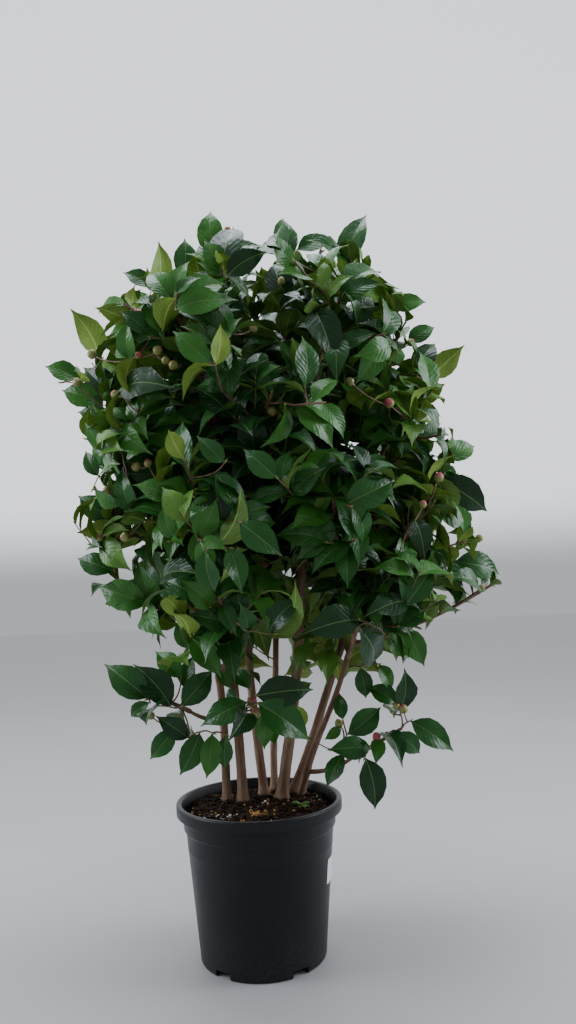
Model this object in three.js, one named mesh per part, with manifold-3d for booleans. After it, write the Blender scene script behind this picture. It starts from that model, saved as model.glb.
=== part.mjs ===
// A camellia shrub in a ten-litre nursery pot, in millimetres, +Z up.
// The origin is the centre of the pot's flat underside. Seven stems rise from the potting mix, boughs leave
// the stems, and the foliage is a set of separate masses. Each mass has one leader that meets its stem or
// bough, side twigs on the leader, and leaves and a flower bud on the shoots.
import * as THREE from "three";
import { mergeVertices } from "three/addons/utils/BufferGeometryUtils.js";
import Module from "manifold-3d";

const wasm = await Module();
wasm.setup();

// ---------------------------------------------------------------- driving dimensions

const GAP = 0.3; // clear space between two pieces that meet
const SURE = 0.25; // a little more, because a limb's flat faces stand in from its round

const POT = {
  height: 242,
  rimRadius: 134.5,
  lipHeight: 18,
  lipRound: 3,
  neckRadius: 124,
  neckSlope: 1,
  stepHeight: 200,
  stepDepth: 3.5,
  footRadius: 100.5,
  wall: 2.5,
  floor: 14,
  sides: 28,
};
const NOTCH = { count: 5, width: 28, height: 10, depth: 13, firstAzimuth: -57 };
const SOIL = { belowRim: 13, edgeDip: 5, levelRadius: 104, sides: 24, clearOfFaces: 0.9 };
const LABEL = { width: 26, height: 38, thickness: 0.8, azimuth: -19, middleHeight: 136 };
const GROUND = POT.height - SOIL.belowRim; // level of the potting mix round the stems

// The crown's outline: at some heights, how far right its middle stands and its radius there.
const CROWN = {
  outline: [
    [425, 66, 175],
    [500, 62, 240],
    [600, 70, 318],
    [700, 56, 328],
    [860, 28, 322],
    [1010, 16, 318],
    [1100, 28, 240],
    [1190, 60, 170],
    [1246, 84, 118],
  ],
  depth: 12, // how far back its middle stands
};

// Stems: foot on the potting mix, tip where the stem enters a mass, sideways bow halfway up, end radii.
const STEMS = {
  stem_left: { foot: [-54, 44], tip: [-112, -22, 800], bow: [14, 8], radii: [7.4, 4] },
  stem_left_inner: { foot: [-27, 34], tip: [-56, -8, 985], bow: [-2, 16], radii: [8.6, 4] },
  stem_middle: { foot: [9, 66], tip: [24, 60, 1050], bow: [-28, 22], radii: [8, 3.8] },
  stem_back: { foot: [27, 92], tip: [62, 196, 800], bow: [-6, 6], radii: [6.6, 3.8] },
  stem_right_inner: { foot: [38, 40], tip: [108, -8, 985], bow: [15, 10], radii: [10, 4.4] },
  stem_right: { foot: [60, 78], tip: [232, 52, 760], bow: [16, 2], radii: [8.2, 4] },
  stem_right_outer: { foot: [72, 56], tip: [186, -62, 560], bow: [-3, 6], radii: [5.6, 3.4] },
};
const STEM = { rings: 10, sides: 6, crowding: 1.35, wave: 3.5, flareHeight: 26, flareShare: 0.4 };

// Tiers of masses: their hearts stand on a ring about the crown's axis.
const TIERS = [
  { name: "skirt", height: 545, ring: 182, count: 6, turn: 0 },
  { name: "waist", height: 680, ring: 208, count: 7, turn: 0.5 },
  { name: "belly", height: 816, ring: 206, count: 6, turn: 0.5 },
  { name: "shoulder", height: 954, ring: 190, count: 6, turn: 0 },
  { name: "cap", height: 1080, ring: 126, count: 4, turn: 0.5 },
  { name: "peak", height: 1150, ring: 60, count: 1, turn: 0.52 },
];
// Masses whose leading shoot has outgrown the crown's outline: by how much, and the height it ends at.
const LONG_SHOOTS = {
  skirt_1: [124, 588],
  skirt_4: [54, 592],
  waist_4: [34, 706],
  belly_1: [56, 806],
  belly_4: [30, 800],
  shoulder_4: [66, 962],
};

// Low sprays that hang below the crown: heart, where the leader ends, how far the leaves may reach, and where
// on its stem the bough starts.
const LOW_SPRAYS = {
  low_left: {
    heart: [-138, -56, 402],
    tip: [-172, -66, 428],
    reach: 120,
    stem: "stem_left",
    from: 0.24,
  },
  low_right: {
    heart: [200, -34, 318],
    tip: [232, -42, 350],
    reach: 122,
    stem: "stem_right_outer",
    from: 0.12,
  },
  low_middle: {
    heart: [-20, -88, 382],
    tip: [-16, -98, 402],
    reach: 112,
    stem: "stem_left_inner",
    from: 0.18,
  },
};

const BOUGH = { from: 138, share: 0.56, sag: 0.16, radii: [4.2, 2.8], sides: 5, rings: 3, room: 2.5 };
const PERCH = {
  lowest: 0.2,
  highest: 0.97,
  step: 0.032,
  count: 25,
  rise: 0.62,
  heightWeight: 1.3,
  spacing: 0.036,
  crowded: 60,
};
const LEADER = {
  radii: [4.2, 2.5],
  sides: 3,
  rings: 3,
  sag: 0.1,
  reach: 0.62,
  rise: [26, 96],
  short: 68,
  spread: 90,
  room: 2,
};
const TWIG = {
  count: 4,
  radii: [1.7, 1.6],
  between: [0.26, 0.9],
  forward: 0.55,
  lift: 0.25,
  length: [106, 144],
  shortest: 40,
  shrink: 0.85,
  margin: 26,
  rootOut: 0.5, // how far its root stands off the leader's middle line
  room: 1.5,
};
const LEAF = {
  length: [92, 108],
  slender: 0.65, // width over length
  widest: 0.46,
  fold: 4,
  droop: 0.1,
  forward: [-0.1, 0.9],
  hang: [-0.5, 0.5],
  faceUp: [0.5, 1],
  faceOut: [0.5, 1.2],
  attempts: 12,
  shrink: 0.93,
  spacing: 25,
  atTip: 3,
  tipStep: 4.5,
  room: 22,
  perMass: 20,
};
const BUD = { radius: 8, every: 5, of: 2 }; // two masses in every five bear a flower bud

const CLEARANCE_STEPS = 18; // places looked at along a new limb

const SEED = 104729;

const UP = new THREE.Vector3(0, 0, 1);
const ACROSS = new THREE.Vector3(1, 0, 0);

// ---------------------------------------------------------------- small tools

const vector = ([x, y, z]) => new THREE.Vector3(x, y, z);
const blend = (a, b, t) => a + (b - a) * t;
const between = ([low, high], t) => blend(low, high, t);

// A repeatable stream of numbers from 0 to 1.
function seeded(seed) {
  let state = seed;
  return () => {
    state = (state * 16807) % 2147483647;
    return state / 2147483647;
  };
}

// A closed geometry as a solid that can be joined and cut.
function solidOf(geometry) {
  const bare = new THREE.BufferGeometry().setAttribute("position", geometry.getAttribute("position"));
  bare.setIndex(geometry.index);
  const merged = mergeVertices(bare, 1e-4);
  const mesh = new wasm.Mesh({
    numProp: 3,
    vertProperties: merged.attributes.position.array,
    triVerts: new Uint32Array(merged.index.array),
  });
  return new wasm.Manifold(mesh);
}

function largestPiece(solid) {
  return solid.decompose().reduce((best, piece) => (piece.volume() > best.volume() ? piece : best));
}

// The solid back as a geometry, without the loose scraps that a cut can leave.
function geometryOf(solid) {
  const mesh = largestPiece(solid).getMesh();
  const geometry = new THREE.BufferGeometry();
  geometry.setAttribute("position", new THREE.BufferAttribute(new Float32Array(mesh.vertProperties), 3));
  geometry.setIndex(new THREE.BufferAttribute(new Uint32Array(mesh.triVerts), 1));
  geometry.computeVertexNormals();
  return geometry;
}

function boxesMeet(a, b) {
  return a.min.every((low, k) => low <= b.max[k]) && a.max.every((high, k) => high >= b.min[k]);
}

const meets = (a, b) => boxesMeet(a.boundingBox(), b.boundingBox()) && !a.intersect(b).isEmpty();

// ---------------------------------------------------------------- the pot, the potting mix and the label

// The pot's outer radius below its step.
function potRadiusAt(height) {
  return blend(POT.footRadius, POT.neckRadius - POT.neckSlope - POT.stepDepth, height / POT.stepHeight);
}

function turned(profile, sides) {
  const points = profile.map(([radius, height]) => new THREE.Vector2(radius, height));
  return new THREE.LatheGeometry(points, sides).rotateX(Math.PI / 2);
}

function pot() {
  const { height, rimRadius, lipHeight, lipRound, neckRadius, stepHeight, wall, floor } = POT;
  const step = [potRadiusAt(stepHeight), stepHeight];
  const aboveStep = [neckRadius - POT.neckSlope, stepHeight + POT.stepDepth];
  const outside = [
    [POT.footRadius, 0],
    step,
    aboveStep,
    [neckRadius, height - lipHeight],
    [rimRadius, height - lipHeight],
    [rimRadius, height - lipRound],
    [rimRadius - lipRound, height],
  ];
  const inside = [
    [neckRadius - wall, height],
    [aboveStep[0] - wall, aboveStep[1]],
    [step[0] - wall, stepHeight],
    [potRadiusAt(floor) - wall, floor],
  ];
  let made = solidOf(turned([[0, 0], ...outside, ...inside, [0, floor]], POT.sides));
  for (let i = 0; i < NOTCH.count; i++) {
    const azimuth = THREE.MathUtils.degToRad(NOTCH.firstAzimuth + (i * 360) / NOTCH.count);
    const cutter = new THREE.BoxGeometry(2 * NOTCH.depth, NOTCH.width, 2 * NOTCH.height);
    cutter.translate(POT.footRadius, 0, 0).rotateZ(azimuth);
    made = made.subtract(solidOf(cutter));
  }
  return geometryOf(made);
}

function pottingMix() {
  const bottom = POT.floor + GAP;
  const clear = POT.wall + GAP + SOIL.clearOfFaces;
  const bodyRadius = potRadiusAt(POT.stepHeight) - clear;
  const profile = [
    [0, bottom],
    [potRadiusAt(bottom) - clear, bottom],
    [bodyRadius, POT.stepHeight - 1],
    [bodyRadius, GROUND - SOIL.edgeDip],
    [SOIL.levelRadius, GROUND],
    [0, GROUND],
  ];
  return turned(profile, SOIL.sides);
}

// A blank card on the pot's right side, just off the wall.
function label() {
  const card = new THREE.BoxGeometry(LABEL.thickness, LABEL.width, LABEL.height);
  const slope = (potRadiusAt(POT.stepHeight) - POT.footRadius) / POT.stepHeight;
  card.rotateY(Math.atan(slope));
  card.translate(potRadiusAt(LABEL.middleHeight) + LABEL.thickness / 2 + GAP, 0, LABEL.middleHeight);
  return card.rotateZ(THREE.MathUtils.degToRad(LABEL.azimuth));
}

// ---------------------------------------------------------------- limbs

// A limb is a line of points with a radius at each. All limbs are kept here as they are added.
const limbs = [];

// The direction of a line at one of its points.
function headingOf(line, i) {
  const before = line[Math.max(i - 1, 0)];
  const after = line[Math.min(i + 1, line.length - 1)];
  return after.clone().sub(before).normalize();
}

// The level direction across a heading.
function levelAcross(heading) {
  const side = new THREE.Vector3().crossVectors(UP, heading);
  return side.length() < 0.05 ? ACROSS.clone().cross(heading).normalize() : side.normalize();
}

// A closed tapering tube: rings of corners joined by quads, with a fan on each end. A stem's rings lie level.
// Where a start is given, the first ring lies square to it.
function tube({ line, radii, sides, level, start }) {
  const corners = [];
  const faces = [];
  line.forEach((middle, ring) => {
    const square = ring === 0 && start ? start : headingOf(line, ring);
    const heading = level ? UP : square;
    const first = level ? ACROSS : levelAcross(square);
    const second = new THREE.Vector3().crossVectors(heading, first);
    for (let i = 0; i < sides; i++) {
      const angle = (2 * Math.PI * i) / sides;
      const corner = middle.clone().addScaledVector(first, radii[ring] * Math.cos(angle));
      corners.push(corner.addScaledVector(second, radii[ring] * Math.sin(angle)));
    }
  });
  for (let ring = 0; ring < line.length - 1; ring++) {
    for (let i = 0; i < sides; i++) {
      const here = ring * sides + i;
      const next = ring * sides + ((i + 1) % sides);
      faces.push(here, next, next + sides, here, next + sides, here + sides);
    }
  }
  const last = (line.length - 1) * sides;
  for (let i = 1; i < sides - 1; i++) faces.push(0, i + 1, i, last, last + i, last + i + 1);
  const geometry = new THREE.BufferGeometry().setFromPoints(corners);
  geometry.setIndex(faces);
  return geometry;
}

const evenRadii = (ends, count) => Array.from({ length: count }, (_, i) => between(ends, i / (count - 1)));

function addLimb(limb) {
  const fatter = limb.radii.map((radius) => radius + GAP + SURE);
  limb.solid = solidOf(tube(limb));
  limb.fat = solidOf(tube({ ...limb, radii: fatter })); // the same limb with its gap round it
  limbs.push(limb);
  return limb;
}

// How far a point is from the face of a limb, along whose line it is taken as straight tapering lengths.
function distanceToLimb(limb, point) {
  const nearest = new THREE.Vector3();
  let least = Infinity;
  for (let i = 1; i < limb.line.length; i++) {
    const length = new THREE.Line3(limb.line[i - 1], limb.line[i]);
    const share = length.closestPointToPointParameter(point, true);
    const radius = blend(limb.radii[i - 1], limb.radii[i], share);
    least = Math.min(least, length.at(share, nearest).distanceTo(point) - radius);
  }
  return least;
}

// The point on a line of points at a share of the way along it.
function alongLine(line, share) {
  const place = share * (line.length - 1);
  const i = Math.min(Math.floor(place), line.length - 2);
  return line[i].clone().lerp(line[i + 1], place - i);
}

// Whether a new limb would stay clear of all limbs but the one that carries it.
function staysClear(line, radius, room, carrier) {
  const others = limbs.filter((limb) => limb !== carrier);
  for (let k = 0; k <= CLEARANCE_STEPS; k++) {
    const point = alongLine(line, k / CLEARANCE_STEPS);
    if (others.some((limb) => distanceToLimb(limb, point) < radius + room)) return false;
  }
  return true;
}

// A stem leans from foot to tip, bows to one side and is a little crooked.
function stemPoint({ foot, tip, bow }, index, t) {
  const belly = Math.sin(Math.PI * t);
  const wave = STEM.wave * Math.sin(2.3 * Math.PI * t + 1.7 * index) * belly;
  return new THREE.Vector3(
    blend(foot[0], tip[0], t) + bow[0] * belly + wave,
    blend(foot[1], tip[1], t) + bow[1] * belly - wave,
    blend(GROUND + GAP, tip[2], t),
  );
}

function stemRadius({ radii }, t, height) {
  const flare = Math.max(0, 1 - height / STEM.flareHeight);
  return between(radii, t) + radii[0] * STEM.flareShare * flare * flare;
}

function addStems() {
  Object.entries(STEMS).forEach(([name, stem], index) => {
    const shares = Array.from({ length: STEM.rings + 1 }, (_, i) => (i / STEM.rings) ** STEM.crowding);
    const line = shares.map((t) => stemPoint(stem, index, t));
    const radii = line.map((point, i) => stemRadius(stem, shares[i], point.z - GROUND - GAP));
    const pointAt = (t) => stemPoint(stem, index, t);
    addLimb({ name, line, radii, pointAt, sides: STEM.sides, level: true, isStem: true, taken: [] });
  });
}

// A branch's line from its root to its tip, by way of a point that its curve is drawn towards.
function branchLine(root, pull, tip, rings) {
  const curve = new THREE.QuadraticBezierCurve3(root, pull, tip);
  return Array.from({ length: rings + 1 }, (_, i) => curve.getPoint(i / rings));
}

function saggingLine(root, tip, sag, rings) {
  const pull = root.clone().lerp(tip, 0.5);
  pull.z -= sag * root.distanceTo(tip);
  return branchLine(root, pull, tip, rings);
}

// ---------------------------------------------------------------- the crown and its masses

const CROWN_FOOT = CROWN.outline[0][0];
const CROWN_TOP = CROWN.outline.at(-1)[0];
const heightShare = (z) => (z - CROWN_FOOT) / (CROWN_TOP - CROWN_FOOT);

// The crown's middle and radius at a height. Above the last one the crown keeps its radius.
function crownAt(z) {
  const { outline, depth } = CROWN;
  const above = outline.findIndex(([height]) => height >= z);
  const upper = outline.at(above);
  const lower = outline.at(above < 1 ? above : above - 1);
  const share = upper === lower ? 0 : (z - lower[0]) / (upper[0] - lower[0]);
  const [, x, radius] = lower.map((low, k) => blend(low, upper[k], share));
  return { middle: new THREE.Vector3(x, depth, z), radius };
}

function massList() {
  const masses = [];
  for (const tier of TIERS) {
    for (let i = 0; i < tier.count; i++) {
      const name = `${tier.name}_${i + 1}`;
      const azimuth = (2 * Math.PI * (i + tier.turn)) / tier.count;
      const outward = new THREE.Vector3(Math.cos(azimuth), Math.sin(azimuth), 0);
      const heart = crownAt(tier.height).middle.addScaledVector(outward, tier.ring);
      const [extra, level] = LONG_SHOOTS[name] ?? [0, 0];
      masses.push({ name, heart, outward, reach: LEADER.reach * tier.ring, extra, level });
    }
  }
  for (const [name, spray] of Object.entries(LOW_SPRAYS)) {
    const heart = vector(spray.heart);
    const outward = vector(spray.tip).sub(heart).setZ(0).normalize();
    masses.push({ name, heart, outward, extra: 0, level: 0, spray });
  }
  masses.forEach((mass, index) => {
    mass.random = seeded(SEED * (index + 1));
  });
  return masses;
}

// Whether a point is in the mass's own space: nearer to its heart than to any other, and inside the outline.
function inOwnSpace(mass, point, margin) {
  const own = point.distanceToSquared(mass.heart);
  for (const other of masses) {
    if (other === mass) continue;
    const apart = mass.heart.distanceTo(other.heart);
    if (point.distanceToSquared(other.heart) - own < 2 * apart * margin) return false;
  }
  if (mass.spray) return own < mass.spray.reach ** 2;
  if (point.z < CROWN_FOOT || point.z > CROWN_TOP) return false;
  const { middle, radius } = crownAt(point.z);
  const away = point.clone().sub(middle);
  const distance = away.length();
  const ahead = Math.max(0, 4 * away.normalize().dot(mass.outward) - 3);
  const beside = Math.max(0, 1 - Math.abs(point.z - mass.level) / LEADER.spread);
  return distance < radius + mass.extra * ahead * beside;
}

// The places on the stems that a mass could grow from, best first: near its heart and a little below.
function perches(mass) {
  const found = [];
  for (const stem of limbs.filter((limb) => limb.isStem)) {
    for (let k = 0; k < PERCH.count; k++) {
      const t = PERCH.lowest + PERCH.step * k;
      if (t > PERCH.highest) break;
      const point = stem.pointAt(t);
      const across = Math.hypot(point.x - mass.heart.x, point.y - mass.heart.y);
      const wanted = mass.heart.z - PERCH.rise * across;
      const neighbours = stem.taken.filter((taken) => Math.abs(taken - t) < PERCH.spacing).length;
      const score = across + PERCH.heightWeight * Math.abs(point.z - wanted) + PERCH.crowded * neighbours;
      found.push({ stem, t, point, score });
    }
  }
  return found.sort((a, b) => a.score - b.score);
}

// Where a leader ends: above its heart and out towards the crown's outline, most of a leaf's length short.
function leaderEnd(mass) {
  if (mass.spray) return vector(mass.spray.tip);
  const { heart, outward, extra, level, reach } = mass;
  const end = heart.clone();
  end.z = level || heart.z + between(LEADER.rise, Math.max(0, heightShare(heart.z) - 0.3));
  const { middle, radius } = crownAt(end.z);
  const room = radius + extra - LEADER.short - end.distanceTo(middle);
  return end.addScaledVector(outward, Math.max(0, Math.min(room, reach + extra)));
}

// Cuts a branch's root to the face of the limb that carries it, a gap away.
function cutFrom(limb, carrier) {
  limb.solid = largestPiece(limb.solid.subtract(carrier.fat));
  return limb;
}

function addBough(mass, root, carrier, share) {
  const tip = root.clone().lerp(mass.heart, share);
  const line = saggingLine(root, tip, BOUGH.sag, BOUGH.rings);
  if (!staysClear(line, BOUGH.radii[0], BOUGH.room, carrier)) return null;
  const radii = evenRadii(BOUGH.radii, line.length);
  const bough = addLimb({ name: `bough_${mass.name}`, line, radii, sides: BOUGH.sides, isBough: true });
  return cutFrom(bough, carrier);
}

function addLeader(mass, line, carrier, start) {
  if (!staysClear(line, LEADER.radii[0], LEADER.room, carrier)) return null;
  const radii = evenRadii(LEADER.radii, line.length);
  return addLimb({ name: `leader_${mass.name}`, line, radii, sides: LEADER.sides, start });
}

// A leader that carries on from the tip of a stem or bough, a gap away.
function leaderFromTip(mass, carrier) {
  const heading = headingOf(carrier.line, carrier.line.length - 1);
  const start = carrier.level ? UP : heading;
  const root = carrier.line.at(-1).clone().addScaledVector(start, GAP);
  const tip = leaderEnd(mass);
  const pull = root.clone().addScaledVector(heading, 0.4 * root.distanceTo(tip));
  return addLeader(mass, branchLine(root, pull, tip, LEADER.rings), carrier, start);
}

// A leader that leaves the side of a stem.
function leaderFromSide(mass, perch) {
  const line = saggingLine(perch.point, leaderEnd(mass), LEADER.sag, LEADER.rings);
  const leader = addLeader(mass, line, perch.stem);
  return leader && cutFrom(leader, perch.stem);
}

// Each stem's tip carries the nearest mass that stands above it.
function leadStemTips() {
  for (const stem of limbs.filter((limb) => limb.isStem)) {
    const tip = stem.line.at(-1);
    const cost = (mass) => mass.heart.distanceTo(tip) + (mass.heart.z < tip.z ? 200 : 0);
    const free = masses.filter((mass) => !mass.leader && !mass.spray).sort((a, b) => cost(a) - cost(b));
    for (const mass of free.slice(0, 3)) {
      mass.leader = leaderFromTip(mass, stem);
      if (mass.leader) break;
    }
  }
}

// The low sprays and the masses that stand away from all stems get a bough first.
function leadOtherMasses() {
  for (const mass of masses.filter(({ spray }) => spray)) {
    const stem = limbs.find((limb) => limb.name === mass.spray.stem);
    mass.leader = leaderFromTip(mass, addBough(mass, stem.pointAt(mass.spray.from), stem, 0.62));
  }
  for (const mass of masses.filter(({ leader }) => !leader)) {
    for (const perch of perches(mass)) {
      if (perch.point.distanceTo(mass.heart) > BOUGH.from) {
        const bough = addBough(mass, perch.point, perch.stem, BOUGH.share);
        mass.leader = bough && leaderFromTip(mass, bough);
        if (bough && !mass.leader) limbs.splice(limbs.indexOf(bough), 1);
      } else {
        mass.leader = leaderFromSide(mass, perch);
      }
      if (!mass.leader) continue;
      perch.stem.taken.push(perch.t);
      break;
    }
    if (!mass.leader) throw new Error(`${mass.name} finds no place on any stem`);
  }
}

// ---------------------------------------------------------------- twigs, leaves and buds

// A shoot's direction at a share of its length, and the direction out through one face of its three.
function shootFrame(line, share) {
  const i = Math.min(Math.floor(share * (line.length - 1)), line.length - 2);
  const heading = line[i + 1].clone().sub(line[i]).normalize();
  const first = levelAcross(headingOf(line, i));
  const second = new THREE.Vector3().crossVectors(heading, first);
  const outThrough = (face) => {
    const angle = (2 * Math.PI * (face + 0.5)) / 3;
    return first.clone().multiplyScalar(Math.cos(angle)).addScaledVector(second, Math.sin(angle));
  };
  return { heading, outThrough };
}

// The twigs of a mass: straight side shoots that leave its leader a third of a turn apart, each shortened
// until it has room at its end for leaves.
function growTwigs(mass) {
  const { leader, random } = mass;
  const first = Math.floor(3 * random());
  const twigs = [];
  for (let i = 0; i < TWIG.count; i++) {
    const share = between(TWIG.between, i / (TWIG.count - 1));
    const { heading, outThrough } = shootFrame(leader.line, share);
    const direction = heading.multiplyScalar(TWIG.forward).add(outThrough(i + first));
    direction.addScaledVector(UP, TWIG.lift).normalize();
    const root = alongLine(leader.line, share).addScaledVector(direction, TWIG.rootOut);
    let length = between(TWIG.length, random());
    while (length > TWIG.shortest) {
      const line = [root, root.clone().addScaledVector(direction, length)];
      const fits = inOwnSpace(mass, line[1], TWIG.margin) && inOwnSpace(mass, alongLine(line, 0.5), 4);
      if (fits && staysClear(line, TWIG.radii[0], TWIG.room, leader)) {
        twigs.push({ line, length });
        break;
      }
      length *= TWIG.shrink;
    }
  }
  return twigs;
}

// A leaf of six faces: folded up along its keel, arched, pointed at the tip, with its root inside the shoot.
function leafGeometry(root, axis, light, length) {
  const up = light.clone().addScaledVector(axis, -light.dot(axis)).normalize();
  const side = new THREE.Vector3().crossVectors(up, axis);
  const half = (LEAF.slender * length) / 2;
  const at = (along, across, above) => {
    return root.clone().addScaledVector(axis, along).addScaledVector(side, across).addScaledVector(up, above);
  };
  const corners = [
    root,
    at(LEAF.widest * length, half, LEAF.fold),
    at(LEAF.widest * length, -half, LEAF.fold),
    at(0.5 * length, 0, 0),
    at(length, 0, -LEAF.droop * length),
  ];
  const [foot, left, right, keel, tip] = corners.keys();
  const faces = [
    [foot, right, left],
    [left, right, tip],
    [foot, left, keel],
    [left, tip, keel],
    [tip, right, keel],
    [right, foot, keel],
  ];
  const geometry = new THREE.BufferGeometry().setFromPoints(corners);
  geometry.setIndex(faces.flat());
  return { geometry, corners };
}

// How a leaf would stand on one face of a shoot: its blade turned to the light, low leaves hanging.
function poseLeaf(mass, shoot, share, attempt) {
  const { random, outward } = mass;
  const root = alongLine(shoot.line, share);
  const { heading, outThrough } = shootFrame(shoot.line, share);
  const axis = heading.multiplyScalar(between(LEAF.forward, random())).add(outThrough(attempt));
  axis.addScaledVector(UP, between(LEAF.hang, heightShare(root.z))).normalize();
  const light = UP.clone().multiplyScalar(between(LEAF.faceUp, random()));
  light.addScaledVector(outward, between(LEAF.faceOut, random()));
  const length = between(LEAF.length, random()) * LEAF.shrink ** Math.floor(attempt / 3);
  const middle = root.clone().addScaledVector(axis, 0.5 * length);
  return { ...leafGeometry(root, axis, light, length), middle };
}

// Tries a leaf at a place on a shoot, first where it has the most room.
function tryLeaf(mass, shoot, share, placed) {
  const attempts = Array.from({ length: LEAF.attempts }, (_, attempt) => attempt);
  const choices = attempts.map((attempt) => poseLeaf(mass, shoot, share, attempt));
  for (const choice of choices) {
    choice.room = Math.min(...placed.map((leaf) => leaf.middle.distanceTo(choice.middle)), 999);
  }
  choices.sort((a, b) => b.room - a.room);
  for (const choice of choices) {
    if (choice.room < LEAF.room) return;
    if (!choice.corners.slice(1).every((corner) => inOwnSpace(mass, corner, 0.5))) continue;
    choice.solid = solidOf(choice.geometry);
    if (limbs.some((limb) => limb !== mass.leader && meets(choice.solid, limb.fat))) continue;
    if (placed.some((leaf) => meets(choice.solid, leaf.solid))) continue;
    placed.push(choice);
    return;
  }
}

// Leaves stand round every shoot's tip first, and then down its length, until the mass has its number.
function growLeaves(mass, shoots) {
  const spots = [];
  for (const shoot of shoots) {
    let back = 2;
    for (let i = 1; back < 0.86 * shoot.length; i++) {
      spots.push({ shoot, back });
      back += i < LEAF.atTip ? LEAF.tipStep : LEAF.spacing;
    }
  }
  spots.sort((a, b) => a.back - b.back);
  const placed = [];
  for (const { shoot, back } of spots) {
    if (placed.length < LEAF.perMass) tryLeaf(mass, shoot, 1 - back / shoot.length, placed);
  }
  return placed;
}

function bud({ line }) {
  const heading = headingOf(line, line.length - 1);
  const ball = new THREE.OctahedronGeometry(BUD.radius, 0).scale(1, 1, 1.15);
  ball.applyQuaternion(new THREE.Quaternion().setFromUnitVectors(UP, heading));
  const middle = line.at(-1).clone().addScaledVector(heading, BUD.radius - 1);
  return solidOf(ball.translate(middle.x, middle.y, middle.z));
}

function foliageMass(mass, index) {
  const { leader } = mass;
  const twigs = growTwigs(mass);
  const leaderShoot = { line: leader.line, length: leader.line[0].distanceTo(leader.line.at(-1)) };
  const leaves = growLeaves(mass, [leaderShoot, ...twigs]);
  const wood = twigs.map(({ line }) => solidOf(tube({ line, radii: TWIG.radii, sides: LEADER.sides })));
  const pieces = [leader.solid, ...wood, ...leaves.map(({ solid }) => solid)];
  if (index % BUD.every < BUD.of) pieces.push(bud(leader));
  return geometryOf(pieces.reduce((whole, piece) => whole.add(piece)));
}

// ---------------------------------------------------------------- materials and assembly

const finish = (color, roughness) => new THREE.MeshStandardMaterial({ color, roughness, metalness: 0 });
const BLACK_PLASTIC = finish(0x23272b, 0.55);
const POTTING_MIX = finish(0x3a2417, 0.95);
const WHITE_CARD = finish(0xe4e4ea, 0.6);
const BARK = finish(0x7a5f4a, 0.8);
const FOLIAGE = finish(0x24512a, 0.35);

const shrub = new THREE.Group();

function place(name, geometry, material) {
  const mesh = new THREE.Mesh(geometry, material);
  mesh.name = name;
  shrub.add(mesh);
}

place("pot", pot(), BLACK_PLASTIC);
place("potting_mix", pottingMix(), POTTING_MIX);
place("label", label(), WHITE_CARD);

const masses = massList();
addStems();
leadStemTips();
leadOtherMasses();

for (const limb of limbs.filter(({ isStem, isBough }) => isStem || isBough)) {
  place(limb.name, geometryOf(limb.solid), BARK);
}
masses.forEach((mass, index) => place(`foliage_${mass.name}`, foliageMass(mass, index), FOLIAGE));

export default shrub;
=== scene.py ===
# %% [markdown]
# # A camellia shrub in its nursery pot
#
# Seven stems rise from a ten-litre pot and branch into a dense crown of glossy leaves, with flower buds
# among them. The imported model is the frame: it says where the pot, the stems and each mass of foliage
# stand, and every piece made here keeps to those places. The wood and leaves grow by the same rule as the
# solids did, with the same named sizes, and the rule is then carried on to finer shoots.

import math

import bmesh
import bpy
import numpy as np
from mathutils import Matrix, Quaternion, Vector, noise


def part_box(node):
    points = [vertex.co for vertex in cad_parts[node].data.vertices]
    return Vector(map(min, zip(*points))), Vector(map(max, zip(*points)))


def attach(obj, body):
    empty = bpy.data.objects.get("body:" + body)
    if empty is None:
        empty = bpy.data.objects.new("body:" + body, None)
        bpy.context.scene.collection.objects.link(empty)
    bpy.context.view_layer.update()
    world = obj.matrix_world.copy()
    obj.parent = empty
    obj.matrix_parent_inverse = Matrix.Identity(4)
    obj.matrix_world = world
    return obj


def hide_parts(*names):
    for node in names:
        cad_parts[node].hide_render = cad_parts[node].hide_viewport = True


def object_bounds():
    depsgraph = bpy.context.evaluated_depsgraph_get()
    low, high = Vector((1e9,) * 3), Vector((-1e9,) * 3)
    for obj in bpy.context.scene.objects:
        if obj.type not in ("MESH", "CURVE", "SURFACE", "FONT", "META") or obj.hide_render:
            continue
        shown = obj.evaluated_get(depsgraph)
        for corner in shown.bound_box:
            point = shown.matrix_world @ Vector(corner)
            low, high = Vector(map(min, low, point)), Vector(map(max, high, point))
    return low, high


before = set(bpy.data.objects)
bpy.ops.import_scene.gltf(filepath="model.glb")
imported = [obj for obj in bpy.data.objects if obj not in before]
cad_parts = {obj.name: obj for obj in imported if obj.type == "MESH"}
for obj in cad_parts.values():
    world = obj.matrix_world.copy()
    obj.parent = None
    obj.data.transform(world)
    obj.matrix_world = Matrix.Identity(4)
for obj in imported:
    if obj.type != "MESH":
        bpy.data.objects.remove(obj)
cad_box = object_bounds()
scene = bpy.context.scene
MM = 0.001  # every size below is in millimetres, and becomes metres where a mesh is made
print("nodes in the frame:", len(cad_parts))

# %% [markdown]
# ## Small helpers
#
# Colours are written as sRGB hex values, as a paint chart gives them, and one function turns them to the
# linear values that shaders want. One function adds a node to a tree, with its settings, values and links.


# %% Colours and nodes
def colour(hex_value):
    """An sRGB hex colour as linear RGBA."""
    channels = [int(hex_value[i : i + 2], 16) / 255 for i in (1, 3, 5)]
    linear = [c / 12.92 if c <= 0.04045 else ((c + 0.055) / 1.055) ** 2.4 for c in channels]
    return (*linear, 1.0)


def add_node(tree, kind, inputs=None, **settings):
    """Adds a node. Each input gets a value, or a link from the socket that is given."""
    node = tree.nodes.new(kind)
    for name, value in settings.items():
        setattr(node, name, value)
    for name, value in (inputs or {}).items():
        socket = node.inputs[name]
        if isinstance(value, bpy.types.NodeSocket):
            tree.links.new(value, socket)
        else:
            socket.default_value = value
    return node


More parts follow.
